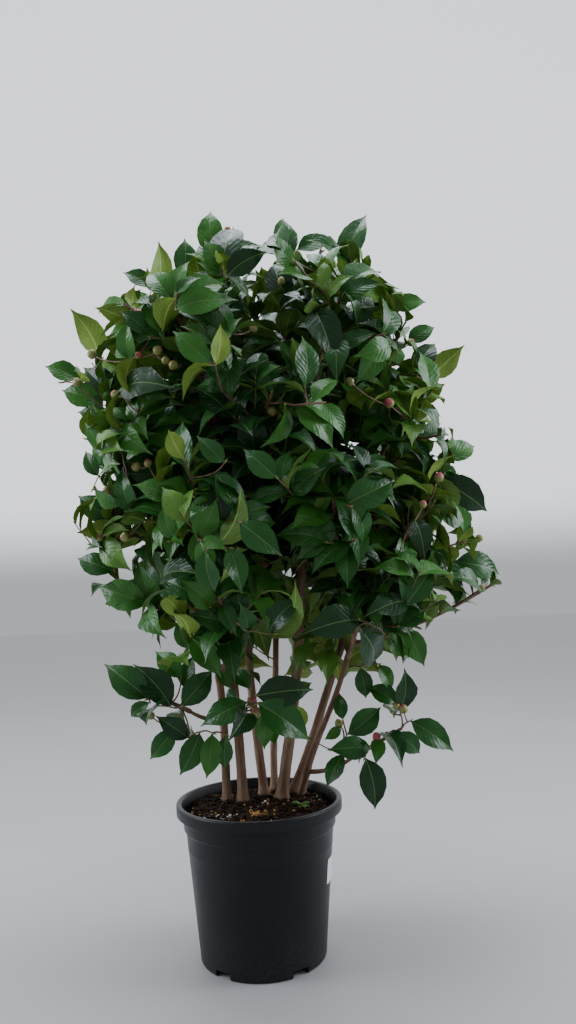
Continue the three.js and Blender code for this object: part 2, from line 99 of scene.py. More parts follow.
def new_material(name):
    material = bpy.data.materials.new(name)
    material.use_nodes = True
    material.node_tree.nodes.clear()
    return material


def close_material(material, **sockets):
    """Ends a material with its shader. Underscores in a name stand for spaces."""
    tree = material.node_tree
    inputs = {name.replace("_", " "): value for name, value in sockets.items()}
    shader = add_node(tree, "ShaderNodeBsdfPrincipled", inputs)
    add_node(tree, "ShaderNodeOutputMaterial", {"Surface": shader.outputs["BSDF"]})
    return material


def per(size_mm):
    """The Scale that gives a pattern its real size in millimetres."""
    return 1 / (size_mm * MM)


print("a pattern 10 mm wide has the scale", per(10))


# %% Meshes
def make_piece(name, points, faces, materials, face_materials=None, smooth=True):
    """A mesh object from points in millimetres. The object stays at the origin."""
    mesh = bpy.data.meshes.new(name)
    mesh.from_pydata((np.asarray(points) * MM).tolist(), [], faces)
    for material in materials:
        mesh.materials.append(material)
    if face_materials is not None:
        mesh.polygons.foreach_set("material_index", np.asarray(face_materials, np.int32))
    mesh.polygons.foreach_set("use_smooth", [smooth] * len(mesh.polygons))
    mesh.update()
    piece = bpy.data.objects.new(name, mesh)
    scene.collection.objects.link(piece)
    return piece


def store(mesh, name, kind, values, domain="POINT"):
    """Stores one value for each point or face under a name that nodes can read."""
    attribute = mesh.attributes.new(name, kind, domain)
    field = "vector" if kind == "FLOAT_VECTOR" else "value"
    attribute.data.foreach_set(field, np.asarray(values).ravel())


def deliver(piece, slot, *nodes):
    """Puts a finished piece on the frame, in place of the nodes that it stands for."""
    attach(piece, "root")
    if nodes:
        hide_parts(*nodes)
    triangles = sum(len(face.vertices) - 2 for face in piece.data.polygons)
    print(f"{piece.name}: {triangles} triangles")


print("one millimetre is", MM, "of Blender's units")


# %% [markdown]
# ## The camera
#
# The view is a handheld one from about 1.3 m away, a little below the middle of the plant, tilted up by five
# degrees and turned a touch to the right.

# %% Camera
LENS = 27.585
CAMERA_PLACE = (0.0, -1.318, 0.596)  # metres
YAW, PITCH, ROLL = math.radians(2.783), math.radians(4.855), math.radians(2.102)

camera_data = bpy.data.cameras.new("camera")
camera_data.lens = LENS
camera_data.sensor_width = 36.0
camera = bpy.data.objects.new("camera", camera_data)
scene.collection.objects.link(camera)
scene.camera = camera
forward = Vector((math.sin(YAW) * math.cos(PITCH), math.cos(YAW) * math.cos(PITCH), math.sin(PITCH)))
camera.location = CAMERA_PLACE
camera.rotation_mode = "QUATERNION"
camera.rotation_quaternion = forward.to_track_quat("-Z", "Y") @ Quaternion((0, 0, 1), -ROLL)
print("camera at", tuple(camera.location))

# %% [markdown]
# ## The growth rule: sizes
#
# These are the named sizes of the solids, in millimetres. A stem leans from its foot to its tip, bows to one
# side and is a little crooked. The crown is a stack of tiers, and each tier is a ring of masses. A mass has a
# heart, and it owns the space that is nearer to its heart than to any other.

# %% Sizes of the stems and the crown
GROUND = 229.0
GAP = 0.3
STEMS = {
    "stem_left": dict(foot=(-54, 44), tip=(-112, -22, 800), bow=(14, 8), radii=(7.4, 4)),
    "stem_left_inner": dict(foot=(-27, 34), tip=(-56, -8, 985), bow=(-2, 16), radii=(8.6, 4)),
    "stem_middle": dict(foot=(9, 66), tip=(24, 60, 1050), bow=(-28, 22), radii=(8, 3.8)),
    "stem_back": dict(foot=(27, 92), tip=(62, 196, 800), bow=(-6, 6), radii=(6.6, 3.8)),
    "stem_right_inner": dict(foot=(38, 40), tip=(108, -8, 985), bow=(15, 10), radii=(10, 4.4)),
    "stem_right": dict(foot=(60, 78), tip=(232, 52, 760), bow=(16, 2), radii=(8.2, 4)),
    "stem_right_outer": dict(foot=(72, 56), tip=(186, -62, 560), bow=(-3, 6), radii=(5.6, 3.4)),
}
STEM_RINGS, STEM_CROWDING, STEM_WAVE = 10, 1.35, 3.5
FLARE_HEIGHT, FLARE_SHARE = 26, 0.4

# height, how far right the crown's middle stands, and its radius
CROWN_OUTLINE = np.array(
    [
        [425, 66, 175],
        [500, 62, 240],
        [600, 70, 318],
        [700, 56, 328],
        [860, 28, 322],
        [1010, 16, 318],
        [1100, 28, 240],
        [1190, 60, 170],
        [1246, 84, 118],
    ],
    float,
)
CROWN_DEPTH = 12
TIERS = [
    ("skirt", 545, 182, 6, 0),
    ("waist", 680, 208, 7, 0.5),
    ("belly", 816, 206, 6, 0.5),
    ("shoulder", 954, 190, 6, 0),
    ("cap", 1080, 126, 4, 0.5),
    ("peak", 1150, 60, 1, 0.52),
]  # name, height, ring, count, turn
LONG_SHOOTS = {
    "skirt_1": (124, 588),
    "skirt_4": (54, 592),
    "waist_4": (34, 706),
    "belly_1": (56, 806),
    "belly_4": (30, 800),
    "shoulder_4": (66, 962),
}  # by how much a leading shoot has outgrown the outline, and the height it ends at
LOW_SPRAYS = {
    "low_left": ((-138, -56, 402), (-172, -66, 428), 120, "stem_left", 0.24),
    "low_right": ((200, -34, 318), (232, -42, 350), 122, "stem_right_outer", 0.12),
    "low_middle": ((-20, -88, 382), (-16, -98, 402), 112, "stem_left_inner", 0.18),
}  # heart, leader's end, reach, stem, share of the stem
print(len(STEMS), "stems,", sum(tier[3] for tier in TIERS) + len(LOW_SPRAYS), "masses")

# %% Sizes of the boughs, leaders and twigs
BOUGH = dict(away=138, share=0.56, sag=0.16, radii=(4.2, 2.8), rings=3, room=2.5)
PERCH = dict(lowest=0.2, highest=0.97, step=0.032, count=25, rise=0.62)
PERCH.update(height_weight=1.3, spacing=0.036, crowded=60)
LEADER = dict(radii=(4.2, 2.5), rings=3, sag=0.1, reach=0.62, rise=(26, 96), short=68, spread=90, room=2)
TWIG = dict(count=4, radii=(1.7, 1.6), between=(0.26, 0.9), forward=0.55, lift=0.25, length=(106, 144))
TWIG.update(shortest=40, shrink=0.85, margin=26, inner=4, root_out=0.5, room=1.5)
SEED = 104729

UP = np.array((0.0, 0.0, 1.0))
ACROSS = np.array((1.0, 0.0, 0.0))
print("a mass has one leader and up to", TWIG["count"], "twigs")

# %% [markdown]
# ## The growth rule: the code
#
# The rule runs on plain arrays of numbers, so that it comes out the same here as in the solids. A limb is a
# line of points with a radius at each. A new limb is only let in where it stays clear of all the others.


# %% Seeded numbers and lines
def seeded(seed):
    """A repeatable stream of numbers from 0 to 1."""
    state = seed

    def draw():
        nonlocal state
        state = state * 16807 % 2147483647
        return state / 2147483647

    return draw


def between(ends, share):
    return ends[0] + (ends[1] - ends[0]) * share


def unit(vector):
    return vector / np.linalg.norm(vector)


def heading_of(line, i):
    return unit(line[min(i + 1, len(line) - 1)] - line[max(i - 1, 0)])


def level_across(heading):
    side = np.cross(UP, heading)
    return unit(np.cross(ACROSS, heading)) if np.linalg.norm(side) < 0.05 else unit(side)


def along_line(line, shares):
    """The points at some shares of the way along a line."""
    places = np.asarray(shares) * (len(line) - 1)
    i = np.minimum(np.floor(places).astype(int), len(line) - 2)
    part = (places - i)[..., None]
    return line[i] * (1 - part) + line[i + 1] * part


def curve_points(root, pull, tip, count):
    """A curve from root to tip, drawn towards a third point."""
    t = np.linspace(0, 1, count + 1)[:, None]
    return (1 - t) ** 2 * root + 2 * t * (1 - t) * pull + t**2 * tip


print("first seeded number:", round(seeded(SEED)(), 6))


# %% Limbs and the room between them
limbs = []
lengths = {}


def restack():
    """Lays the straight lengths of all limbs in a few arrays, for a fast look at distances."""
    lengths["start"] = np.concatenate([limb["line"][:-1] for limb in limbs])
    lengths["run"] = np.concatenate([np.diff(limb["line"], axis=0) for limb in limbs])
    lengths["radius"] = np.concatenate([limb["radii"][:-1] for limb in limbs])
    lengths["taper"] = np.concatenate([np.diff(limb["radii"]) for limb in limbs])
    lengths["owner"] = np.concatenate([[limb["number"]] * (len(limb["line"]) - 1) for limb in limbs])


def add_limb(**limb):
    limb["number"] = max((other["number"] for other in limbs), default=-1) + 1
    limbs.append(limb)
    restack()
    return limb


def remove_limb(limb):
    limbs.remove(limb)
    restack()


def room_round(points, carrier):
    """For each point, how far off the nearest face of any limb but its carrier is."""
    use = lengths["owner"] != (carrier["number"] if carrier else -1)
    start, run = lengths["start"][use], lengths["run"][use]
    offset = points[:, None] - start[None]
    share = np.clip((offset * run).sum(2) / (run * run).sum(1), 0, 1)
    distance = np.linalg.norm(offset - share[..., None] * run, axis=2)
    return (distance - lengths["radius"][use] - share * lengths["taper"][use]).min(1)


def stays_clear(line, radius, room, carrier):
    points = along_line(line, np.arange(19) / 18)
    return bool((room_round(points, carrier) >= radius + room).all())


# %% Stems
def stem_point(stem, index, t):
    belly = math.sin(math.pi * t)
    wave = STEM_WAVE * math.sin(2.3 * math.pi * t + 1.7 * index) * belly
    foot = np.array((*stem["foot"], GROUND + GAP))
    bow = np.array((stem["bow"][0] * belly + wave, stem["bow"][1] * belly - wave, 0))
    return foot + (np.array(stem["tip"], float) - foot) * t + bow


def stem_radius(stem, t, height):
    flare = max(0, 1 - height / FLARE_HEIGHT)
    return between(stem["radii"], t) + stem["radii"][0] * FLARE_SHARE * flare * flare


for number, (stem_name, stem_sizes) in enumerate(STEMS.items()):
    shares = [(i / STEM_RINGS) ** STEM_CROWDING for i in range(STEM_RINGS + 1)]
    stem_line = np.array([stem_point(stem_sizes, number, t) for t in shares])
    stem_radii = [
        stem_radius(stem_sizes, t, point[2] - GROUND - GAP) for t, point in zip(shares, stem_line)
    ]
    add_limb(
        name=stem_name,
        line=stem_line,
        radii=np.array(stem_radii),
        kind="stem",
        index=number,
        sizes=stem_sizes,
        taken=[],
    )
stem_tops = [limb["line"][-1][2] for limb in limbs]
print("stems stand", round(min(stem_tops)), "to", round(max(stem_tops)), "mm high")


# %% The masses and their own space
def height_share(z):
    return (z - CROWN_OUTLINE[0, 0]) / (CROWN_OUTLINE[-1, 0] - CROWN_OUTLINE[0, 0])


def crown_at(z):
    """The crown's middle and radius at a height."""
    x, radius = (np.interp(z, CROWN_OUTLINE[:, 0], CROWN_OUTLINE[:, k]) for k in (1, 2))
    return np.array((x, CROWN_DEPTH, z)), radius


masses = []
for tier_name, tier_height, tier_ring, tier_count, tier_turn in TIERS:
    for number in range(tier_count):
        mass_name = f"{tier_name}_{number + 1}"
        azimuth = 2 * math.pi * (number + tier_turn) / tier_count
        outward = np.array((math.cos(azimuth), math.sin(azimuth), 0))
        extra, level = LONG_SHOOTS.get(mass_name, (0, 0))
        heart = crown_at(tier_height)[0] + outward * tier_ring
        masses.append(
            dict(name=mass_name, heart=heart, outward=outward, extra=extra, level=level)
            | dict(reach=LEADER["reach"] * tier_ring, spray=None)
        )
for mass_name, (heart, tip, reach, stem_name, stem_share) in LOW_SPRAYS.items():
    heart, tip = np.array(heart, float), np.array(tip, float)
    outward = unit((tip - heart) * (1, 1, 0))
    spray = dict(tip=tip, reach=reach, stem=stem_name, share=stem_share)
    masses.append(dict(name=mass_name, heart=heart, outward=outward, extra=0, level=0, reach=0, spray=spray))
for number, mass in enumerate(masses):
    mass["draw"] = seeded(SEED * (number + 1))
    mass["leader"] = None
hearts = np.array([mass["heart"] for mass in masses])


def in_own_space(mass, point, margin):
    """Whether a point is nearer to its mass's heart than to any other, and inside the crown's outline."""
    own = ((point - mass["heart"]) ** 2).sum()
    apart = np.linalg.norm(hearts - mass["heart"], axis=1)
    if (((point - hearts) ** 2).sum(1) - own < 2 * apart * margin).any():
        return False
    if mass["spray"]:
        return own < mass["spray"]["reach"] ** 2
    return inside_outline(mass, point)


def inside_outline(mass, point):
    if not CROWN_OUTLINE[0, 0] <= point[2] <= CROWN_OUTLINE[-1, 0]:
        return False
    middle, radius = crown_at(point[2])
    away = point - middle
    distance = np.linalg.norm(away)
    ahead = max(0, 4 * (away / distance) @ mass["outward"] - 3)
    beside = max(0, 1 - abs(point[2] - mass["level"]) / LEADER["spread"])
    return distance < radius + mass["extra"] * ahead * beside


print("masses:", " ".join(mass["name"] for mass in masses))


# %% Boughs and leaders
def perches(mass):
    """The places on the stems that a mass could grow from, best first."""
    found = []
    for stem in [limb for limb in limbs if limb["kind"] == "stem"]:
        for k in range(PERCH["count"]):
            t = PERCH["lowest"] + PERCH["step"] * k
            if t > PERCH["highest"]:
                break
            point = stem_point(stem["sizes"], stem["index"], t)
            across = math.hypot(*(point - mass["heart"])[:2])
            off_height = abs(point[2] - (mass["heart"][2] - PERCH["rise"] * across))
            neighbours = sum(abs(taken - t) < PERCH["spacing"] for taken in stem["taken"])
            score = across + PERCH["height_weight"] * off_height + PERCH["crowded"] * neighbours
            found.append((score, len(found), stem, t, point))
    return sorted(found, key=lambda perch: perch[:2])


def leader_end(mass):
    if mass["spray"]:
        return mass["spray"]["tip"]
    end = mass["heart"].copy()
    rise = between(LEADER["rise"], max(0, height_share(end[2]) - 0.3))
    end[2] = mass["level"] or end[2] + rise
    middle, radius = crown_at(end[2])
    room = radius + mass["extra"] - LEADER["short"] - np.linalg.norm(end - middle)
    return end + mass["outward"] * max(0, min(room, mass["reach"] + mass["extra"]))


def add_branch(kind, mass, root, pull, tip, sizes, carrier):
    """A bough or leader along a curve, if it stays clear of the other limbs."""
    line = curve_points(root, pull, tip, sizes["rings"])
    if not stays_clear(line, sizes["radii"][0], sizes["room"], carrier):
        return None
    radii = np.linspace(*sizes["radii"], len(line))
    name = f"{kind}_{mass['name']}"
    return add_limb(name=name, kind=kind, line=line, radii=radii, curve=(root, pull, tip), carrier=carrier)


def sagging_pull(root, tip, sag):
    return (root + tip) / 2 - UP * sag * np.linalg.norm(tip - root)


def add_bough(mass, root, carrier, share):
    tip = root + (mass["heart"] - root) * share
    return add_branch("bough", mass, root, sagging_pull(root, tip, BOUGH["sag"]), tip, BOUGH, carrier)


def leader_from_tip(mass, carrier):
    heading = heading_of(carrier["line"], len(carrier["line"]) - 1)
    start = UP if carrier["kind"] == "stem" else heading
    root = carrier["line"][-1] + start * GAP
    tip = leader_end(mass)
    pull = root + heading * 0.4 * np.linalg.norm(tip - root)
    return add_branch("leader", mass, root, pull, tip, LEADER, carrier)


def leader_from_side(mass, root, stem):
    tip = leader_end(mass)
    return add_branch("leader", mass, root, sagging_pull(root, tip, LEADER["sag"]), tip, LEADER, stem)


# %% Give every mass its leader
for stem in limbs[: len(STEMS)]:
    stem_tip = stem["line"][-1]

    def cost(mass):
        below = 200 if mass["heart"][2] < stem_tip[2] else 0
        return np.linalg.norm(mass["heart"] - stem_tip) + below

    free = sorted((mass for mass in masses if not mass["leader"] and not mass["spray"]), key=cost)
    for mass in free[:3]:
        mass["leader"] = leader_from_tip(mass, stem)
        if mass["leader"]:
            break

for mass in [mass for mass in masses if mass["spray"]]:
    stem = next(limb for limb in limbs if limb["name"] == mass["spray"]["stem"])
    root = stem_point(stem["sizes"], stem["index"], mass["spray"]["share"])
    mass["leader"] = leader_from_tip(mass, add_bough(mass, root, stem, 0.62))

for mass in [mass for mass in masses if not mass["leader"]]:
    for _, _, stem, t, root in perches(mass):
        if np.linalg.norm(root - mass["heart"]) > BOUGH["away"]:
            bough = add_bough(mass, root, stem, BOUGH["share"])
            mass["leader"] = leader_from_tip(mass, bough) if bough else None
            if bough and not mass["leader"]:
                remove_limb(bough)
        else:
            mass["leader"] = leader_from_side(mass, root, stem)
        if mass["leader"]:
            stem["taken"].append(t)
            break

boughs = [limb for limb in limbs if limb["kind"] == "bough"]
print(len(boughs), "boughs,", sum(mass["leader"] is not None for mass in masses), "leaders")
for bough in boughs:
    low, high = (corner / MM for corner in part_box(bough["name"]))
    off = np.abs(bough["line"][-1] - np.clip(bough["line"][-1], low, high)).max()
    assert off < 2, f"{bough['name']} ends {off:.1f} mm outside its solid"
print("every bough ends inside its solid")


# %% Twigs
def shoot_frame(line, share):
    """A shoot's direction at a share of its length, and a function for the directions round it."""
    i = min(int(share * (len(line) - 1)), len(line) - 2)
    heading = unit(line[i + 1] - line[i])
    first = level_across(heading_of(line, i))
    second = np.cross(heading, first)
    return heading, lambda angle: first * math.cos(angle) + second * math.sin(angle)


def side_shoots(mass, parent, rule, angles, lengths_wanted):
    """Side shoots along a parent shoot, each shortened until it fits its mass's space."""
    grown = []
    count = len(angles)
    for i, (angle, length) in enumerate(zip(angles, lengths_wanted)):
        share = between(rule["between"], i / max(count - 1, 1))
        heading, out_at = shoot_frame(parent, share)
        direction = unit(heading * rule["forward"] + out_at(angle) + UP * rule["lift"])
        root = along_line(parent, share) + direction * rule["root_out"]
        while length > rule["shortest"]:
            line = np.array([root, root + direction * length])
            fits = in_own_space(mass, line[1], rule["margin"])
            fits = fits and in_own_space(mass, line.mean(0), rule["inner"])
            if fits and stays_clear(line, rule["radii"][0], rule["room"], mass["leader"]):
                grown.append(dict(line=line, length=length, radii=rule["radii"], mass=mass))
                break
            length *= rule["shrink"]
    return grown


for mass in masses:
    first_face = int(3 * mass["draw"]())
    face_angles = [2 * math.pi * (i + first_face + 0.5) / 3 for i in range(TWIG["count"])]
    mass["twigs"] = side_shoots(
        mass,
        mass["leader"]["line"],
        TWIG,
        face_angles,
        [between(TWIG["length"], mass["draw"]()) for _ in face_angles],
    )
print("twigs:", sum(len(mass["twigs"]) for mass in masses))

# %% [markdown]
# ## Finer shoots
#
# A nursery camellia is bushy because every twig is pinched and branches again. So each leader and twig gets
# sprigs, by the same rule in thinner sizes, set round it by the golden angle as buds are on the real plant.

# %% Sprigs
SPRIG = dict(radii=(1.15, 0.85), between=(0.16, 0.97), forward=0.8, lift=0.5, shortest=16, shrink=0.8)
SPRIG.update(margin=22, root_out=0.3, room=1, inner=2)
SPRIG_LENGTH = (34, 76)
SPRIG_SPACING = 27
GOLDEN_ANGLE = math.radians(137.5)
WOBBLE = 2.2  # how far a shoot strays from its straight line, which gives the zigzag from bud to bud


def bent(line, amount, draw):
    """A straight shoot as a slightly crooked line of points."""
    count = 4
    points = along_line(line, np.linspace(0, 1, count + 1))
    heading = unit(line[-1] - line[0])
    side = level_across(heading)
    up = np.cross(heading, side)
    for i in range(1, count):
        points[i] = points[i] + side * amount * (draw() - 0.5) * 2 + up * amount * (draw() - 0.5) * 2
    points[-1] = points[-1] + UP * amount
    return points


POCKET_SIZE, POCKET_FROM, POCKET_SHARE = 62, 0.78, 0.05


def in_pocket(tip):
    """Whether a tip would fill one of the gaps that break up the crown's outer shell."""
    middle, radius = crown_at(tip[2])
    outside = np.linalg.norm((tip - middle)[:2]) / radius
    return outside > POCKET_FROM and noise.noise(Vector(tip / POCKET_SIZE)) > POCKET_SHARE


shoots = []
for mass in masses:
    draw = mass["draw"]
    leader = mass["leader"]
    smooth_line = curve_points(*leader["curve"], 10)
    run = np.linalg.norm(np.diff(smooth_line, axis=0), axis=1).sum()
    radii = LEADER["radii"]
    own = [dict(line=smooth_line, length=run, radii=radii, mass=mass, kind="leader")]
    if mass["spray"]:  # the low sprays have few leaves, which are placed one by one further on
        shoots += own
        continue
    for twig in mass["twigs"]:
        own.append(twig | dict(line=bent(twig["line"], WOBBLE, draw), kind="twig"))
    for parent in list(own):
        count = max(2, round(parent["length"] / SPRIG_SPACING))
        start = 2 * math.pi * draw()
        angles = [start + GOLDEN_ANGLE * i for i in range(count)]
        wanted = [between(SPRIG_LENGTH, draw()) for _ in angles]
        for sprig in side_shoots(mass, parent["line"], SPRIG, angles, wanted):
            if not in_pocket(sprig["line"][-1]):
                own.append(sprig | dict(line=bent(sprig["line"], 0.6 * WOBBLE, draw), kind="sprig"))
    shoots += own
print({kind: sum(shoot["kind"] == kind for shoot in shoots) for kind in ("leader", "twig", "sprig")})

# %% Spurs on the stems
SPUR = dict(radii=(1.3, 0.9), lowest=610, spacing=17, length=(46, 104), lift=(0.2, 1.1))
SPUR.update(root_share=0.6, room=1)  # how much of the stem's radius lies under a spur's root
LOW_SPUR = dict(lowest=400, spread=30, spacing=44)  # below the crown the stems keep only a few
draw = seeded(SEED + 3)
for limb in [limb for limb in limbs if limb["kind"] == "stem"]:
    angle = 2 * math.pi * draw()
    stem_run = limb["line"][-1][2] - limb["line"][0][2]
    lowest = LOW_SPUR["lowest"] + LOW_SPUR["spread"] * draw()
    low_heights = np.arange(lowest, SPUR["lowest"], LOW_SPUR["spacing"])
    for height in [*low_heights, *np.arange(SPUR["lowest"], limb["line"][-1][2], SPUR["spacing"])]:
        t = (height - limb["line"][0][2]) / stem_run
        centre = stem_point(limb["sizes"], limb["index"], t)
        angle += GOLDEN_ANGLE
        out = np.array((math.cos(angle), math.sin(angle), 0))
        heading = unit(out + UP * between(SPUR["lift"], draw()))
        root = centre + out * stem_radius(limb["sizes"], t, height) * SPUR["root_share"]
        tip = root + heading * between(SPUR["length"], draw())
        owner = masses[int(np.argmin(((tip - hearts) ** 2).sum(1)))]
        line = np.array([root, root + (tip - root) * 0.5, tip])
        if stays_clear(line[1:], SPUR["radii"][0], SPUR["room"], limb):
            bent_line = bent(line, WOBBLE, draw)
            length = np.linalg.norm(tip - root)
            shoots.append(dict(line=bent_line, length=length, radii=SPUR["radii"], mass=owner, kind="spur"))
print(sum(shoot["kind"] == "spur" for shoot in shoots), "spurs")

# %% [markdown]
# ## Leading leaves
#
# The growth rule gives the crown its character, but the leaves at its edge draw the outline that the eye
# reads first, and a low spray has so few leaves that each one counts. Those leaves are placed one by one,
# by the two spots of the picture where the camera sees the foot and the tip of the leaf. A ray through a
# spot meets the plant at a depth: near the crown's middle for its outline, on the crown's front for the
# rest. Nothing of them hangs in the air, because a shoot then grows to the leaf's foot from the nearest
# shoot that is already there.

# %% From a spot of the picture to a place on the plant
PICTURE = (576, 1024)
FOCAL_PIXELS = LENS / camera_data.sensor_width * PICTURE[1]
FURTHEST_FORWARD = -285
DEPTH_ROUNDS = 30  # each round brings the place closer to the crown's front


def seen_at(spot, depth):
    """Returns the place that the camera sees at a spot of the picture, at a depth behind the pot's middle."""
    across, down = (along - size / 2 for along, size in zip(spot, PICTURE))
    ray = np.array(camera.rotation_quaternion @ Vector((across, -down, -FOCAL_PIXELS)))
    eye = np.array(CAMERA_PLACE) / MM
    return eye + ray * (depth - eye[1]) / ray[1]


def seen_on_crown(spot, share):
    """Returns the place that the camera sees at a spot of the picture, on the crown's front or within it."""
    depth = 0.0
    for _ in range(DEPTH_ROUNDS):
        place = seen_at(spot, depth)
        middle, radius = crown_at(place[2])
        bulge = math.sqrt(max(0.0, radius**2 - (place[0] - middle[0]) ** 2))
        depth = (depth + CROWN_DEPTH - share * bulge) / 2
    return seen_at(spot, max(depth, FURTHEST_FORWARD))


picture_middle = (PICTURE[0] / 2, PICTURE[1] / 2)
print("the middle of the picture is at", seen_at(picture_middle, 0).round(), "mm")

# %% Leading leaves
# spots of the foot and of the tip, and the tone from deep (0) to young (3)
EDGE_LEAVES = (
    (217, 274, 207, 202, 2), (158, 290, 161, 246, 3), (183, 284, 186, 240, 1), (215, 277, 203, 235, 1),
    (282, 262, 287, 215, 1), (296, 251, 333, 238, 1), (345, 266, 363, 215, 1), (390, 309, 424, 298, 2),
    (408, 345, 433, 324, 1), (416, 375, 433, 340, 0), (430, 378, 460, 349, 3), (417, 403, 438, 386, 0),
    (441, 459, 477, 443, 2), (437, 479, 488, 508, 0), (432, 500, 476, 533, 1), (453, 562, 504, 570, 1),
    (424, 551, 464, 583, 1), (419, 583, 434, 628, 1), (388, 636, 400, 659, 2), (401, 628, 426, 663, 2),
    (100, 356, 79, 313, 3), (82, 382, 42, 365, 2), (119, 404, 83, 365, 0), (103, 405, 63, 389, 2),
    (111, 424, 79, 407, 1), (125, 438, 89, 425, 3), (98, 475, 85, 452, 1), (118, 467, 90, 444, 2),
    (115, 521, 79, 497, 1), (128, 535, 81, 531, 3), (154, 290, 125, 271, 1), (152, 326, 132, 290, 2),
    (132, 352, 100, 339, 2), (115, 572, 77, 557, 1), (149, 605, 98, 586, 2), (386, 608, 400, 635, 1),
    (360, 667, 367, 698, 1), (378, 664, 394, 690, 2), (301, 730, 298, 704, 3), (272, 720, 272, 745, 2),
    (229, 686, 217, 663, 2), (288, 698, 310, 682, 2), (188, 648, 177, 622, 2),
)
SIDE_LEAVES = (
    (223, 274, 232, 221, 0), (226, 277, 262, 249, 0), (340, 291, 375, 266, 1), (314, 309, 334, 352, 0),
    (340, 349, 373, 329, 1), (415, 520, 426, 553, 0), (128, 511, 169, 508, 1), (163, 332, 173, 290, 3),
    (151, 337, 123, 311, 1), (129, 360, 126, 324, 2), (122, 392, 160, 378, 0), (162, 578, 191, 570, 0),
    (185, 620, 165, 595, 3), (191, 639, 177, 610, 3), (158, 679, 184, 651, 3), (210, 606, 191, 584, 2),
)
FRONT_LEAVES = (
    (305, 388, 307, 337, 1), (406, 601, 372, 610, 0), (216, 366, 222, 327, 3), (210, 363, 175, 332, 2),
    (184, 460, 167, 430, 3), (278, 479, 245, 450, 1), (239, 522, 279, 553, 1), (222, 460, 199, 438, 1),
    (229, 548, 243, 587, 1), (360, 620, 310, 627, 0), (358, 627, 381, 667, 0),
)
SIDE_SHARES, FRONT_SHARES = (0.72, 0.86), (0.9, 1)  # how far out on the crown the foot and the tip stand
EDGE_DEPTH = -12
EDGE_SPREAD = dict(foot=22, tip=14)
LEADING_LENGTH = (48, 96)
draw = seeded(SEED + 40)
leading_leaves = []
for leaves in (EDGE_LEAVES, SIDE_LEAVES, FRONT_LEAVES):
    for *spots, tone in leaves:
        foot_spot, tip_spot = spots[:2], spots[2:]
        if leaves is EDGE_LEAVES:
            depth = EDGE_DEPTH + EDGE_SPREAD["foot"] * (2 * draw() - 1)
            root = seen_at(foot_spot, depth)
            tip = seen_at(tip_spot, depth + EDGE_SPREAD["tip"] * (1.5 * draw() - 1))
        else:
            shares = SIDE_SHARES if leaves is SIDE_LEAVES else FRONT_SHARES
            root, tip = seen_on_crown(foot_spot, shares[0]), seen_on_crown(tip_spot, shares[1])
        length = np.linalg.norm(root - tip)
        root = tip + (root - tip) * np.clip(length, *LEADING_LENGTH) / length
        leading_leaves.append((root, tip, tone))
print(len(leading_leaves), "leading leaves")

# %% Leaves of the low sprays
# foot and tip: a spot across and down the picture, and a depth
LOW_LEAVES = dict(
    low_right=(
        ((398, 706, -36), (370, 684, -28)),
        ((400, 711, -44), (407, 673, -68)),
        ((410, 721, -44), (452, 748, -62)),
        ((395, 732, -30), (422, 753, -24)),
        ((377, 737, -50), (378, 760, -82)),
        ((371, 747, -46), (333, 749, -66)),
        ((365, 757, -50), (379, 807, -62)),
        ((347, 735, -24), (380, 709, -14)),
        ((343, 720, -16), (339, 694, -8)),
        ((341, 727, -10), (326, 739, -20)),
        ((344, 754, -40), (326, 784, -58)),
        ((385, 733, -44), (402, 751, -112)),
        ((394, 714, -38), (395, 704, 32)),
        ((368, 748, -44), (356, 753, 22)),
    ),
    low_left=(
        ((181, 707, -60), (212, 671, -48)),
        ((171, 707, -60), (141, 665, -74)),
        ((148, 699, -66), (108, 665, -78)),
        ((150, 702, -60), (130, 716, -52)),
        ((181, 679, -40), (157, 650, -34)),
        ((186, 690, -30), (190, 655, -20)),
        ((189, 738, -80), (160, 718, -96)),
        ((175, 728, -66), (151, 759, -74)),
        ((200, 732, -84), (183, 774, -100)),
        ((212, 733, -90), (208, 776, -104)),
        ((226, 735, -90), (224, 768, -96)),
        ((160, 706, -62), (144, 719, -128)),
        ((180, 714, -50), (177, 711, 20)),
        ((195, 735, -82), (191, 741, -16)),
    ),
    low_middle=(
        ((248, 702, -96), (203, 722, -112)),
        ((255, 696, -94), (309, 688, -104)),
        ((257, 703, -98), (310, 736, -116)),
        ((250, 690, -84), (232, 668, -70)),
        ((262, 712, -80), (266, 748, -92)),
        ((238, 700, -80), (224, 690, -62)),
        ((246, 712, -94), (239, 728, -164)),
    ),
)
print({spray: len(leaves) for spray, leaves in LOW_LEAVES.items()})

# %% Shoots that carry the leading leaves
BOX_LOW, BOX_HIGH = (np.array(corner) / MM for corner in cad_box)
INSIDE_LOW, INSIDE_HIGH = 8, 11  # how far the tips of the leading leaves stay inside the box of the solids
LEADING_RADII, LOW_RADII, STALK_RADII = (1.2, 0.9), (1.5, 1.1), (1.2, 1)
LOW_TONES = (1, 0, 1, 1, 2)
DOWNHILL = dict(from_above=20, weight=0.6)  # a shoot had rather start below its end than above it
TOO_NEAR, OTHER_MASS = 200, 1000  # what a start costs that is too near, or on another mass
places = np.concatenate([shoot["line"][2:] for shoot in shoots])
owners = np.concatenate([[number] * (len(shoot["line"]) - 2) for number, shoot in enumerate(shoots)])


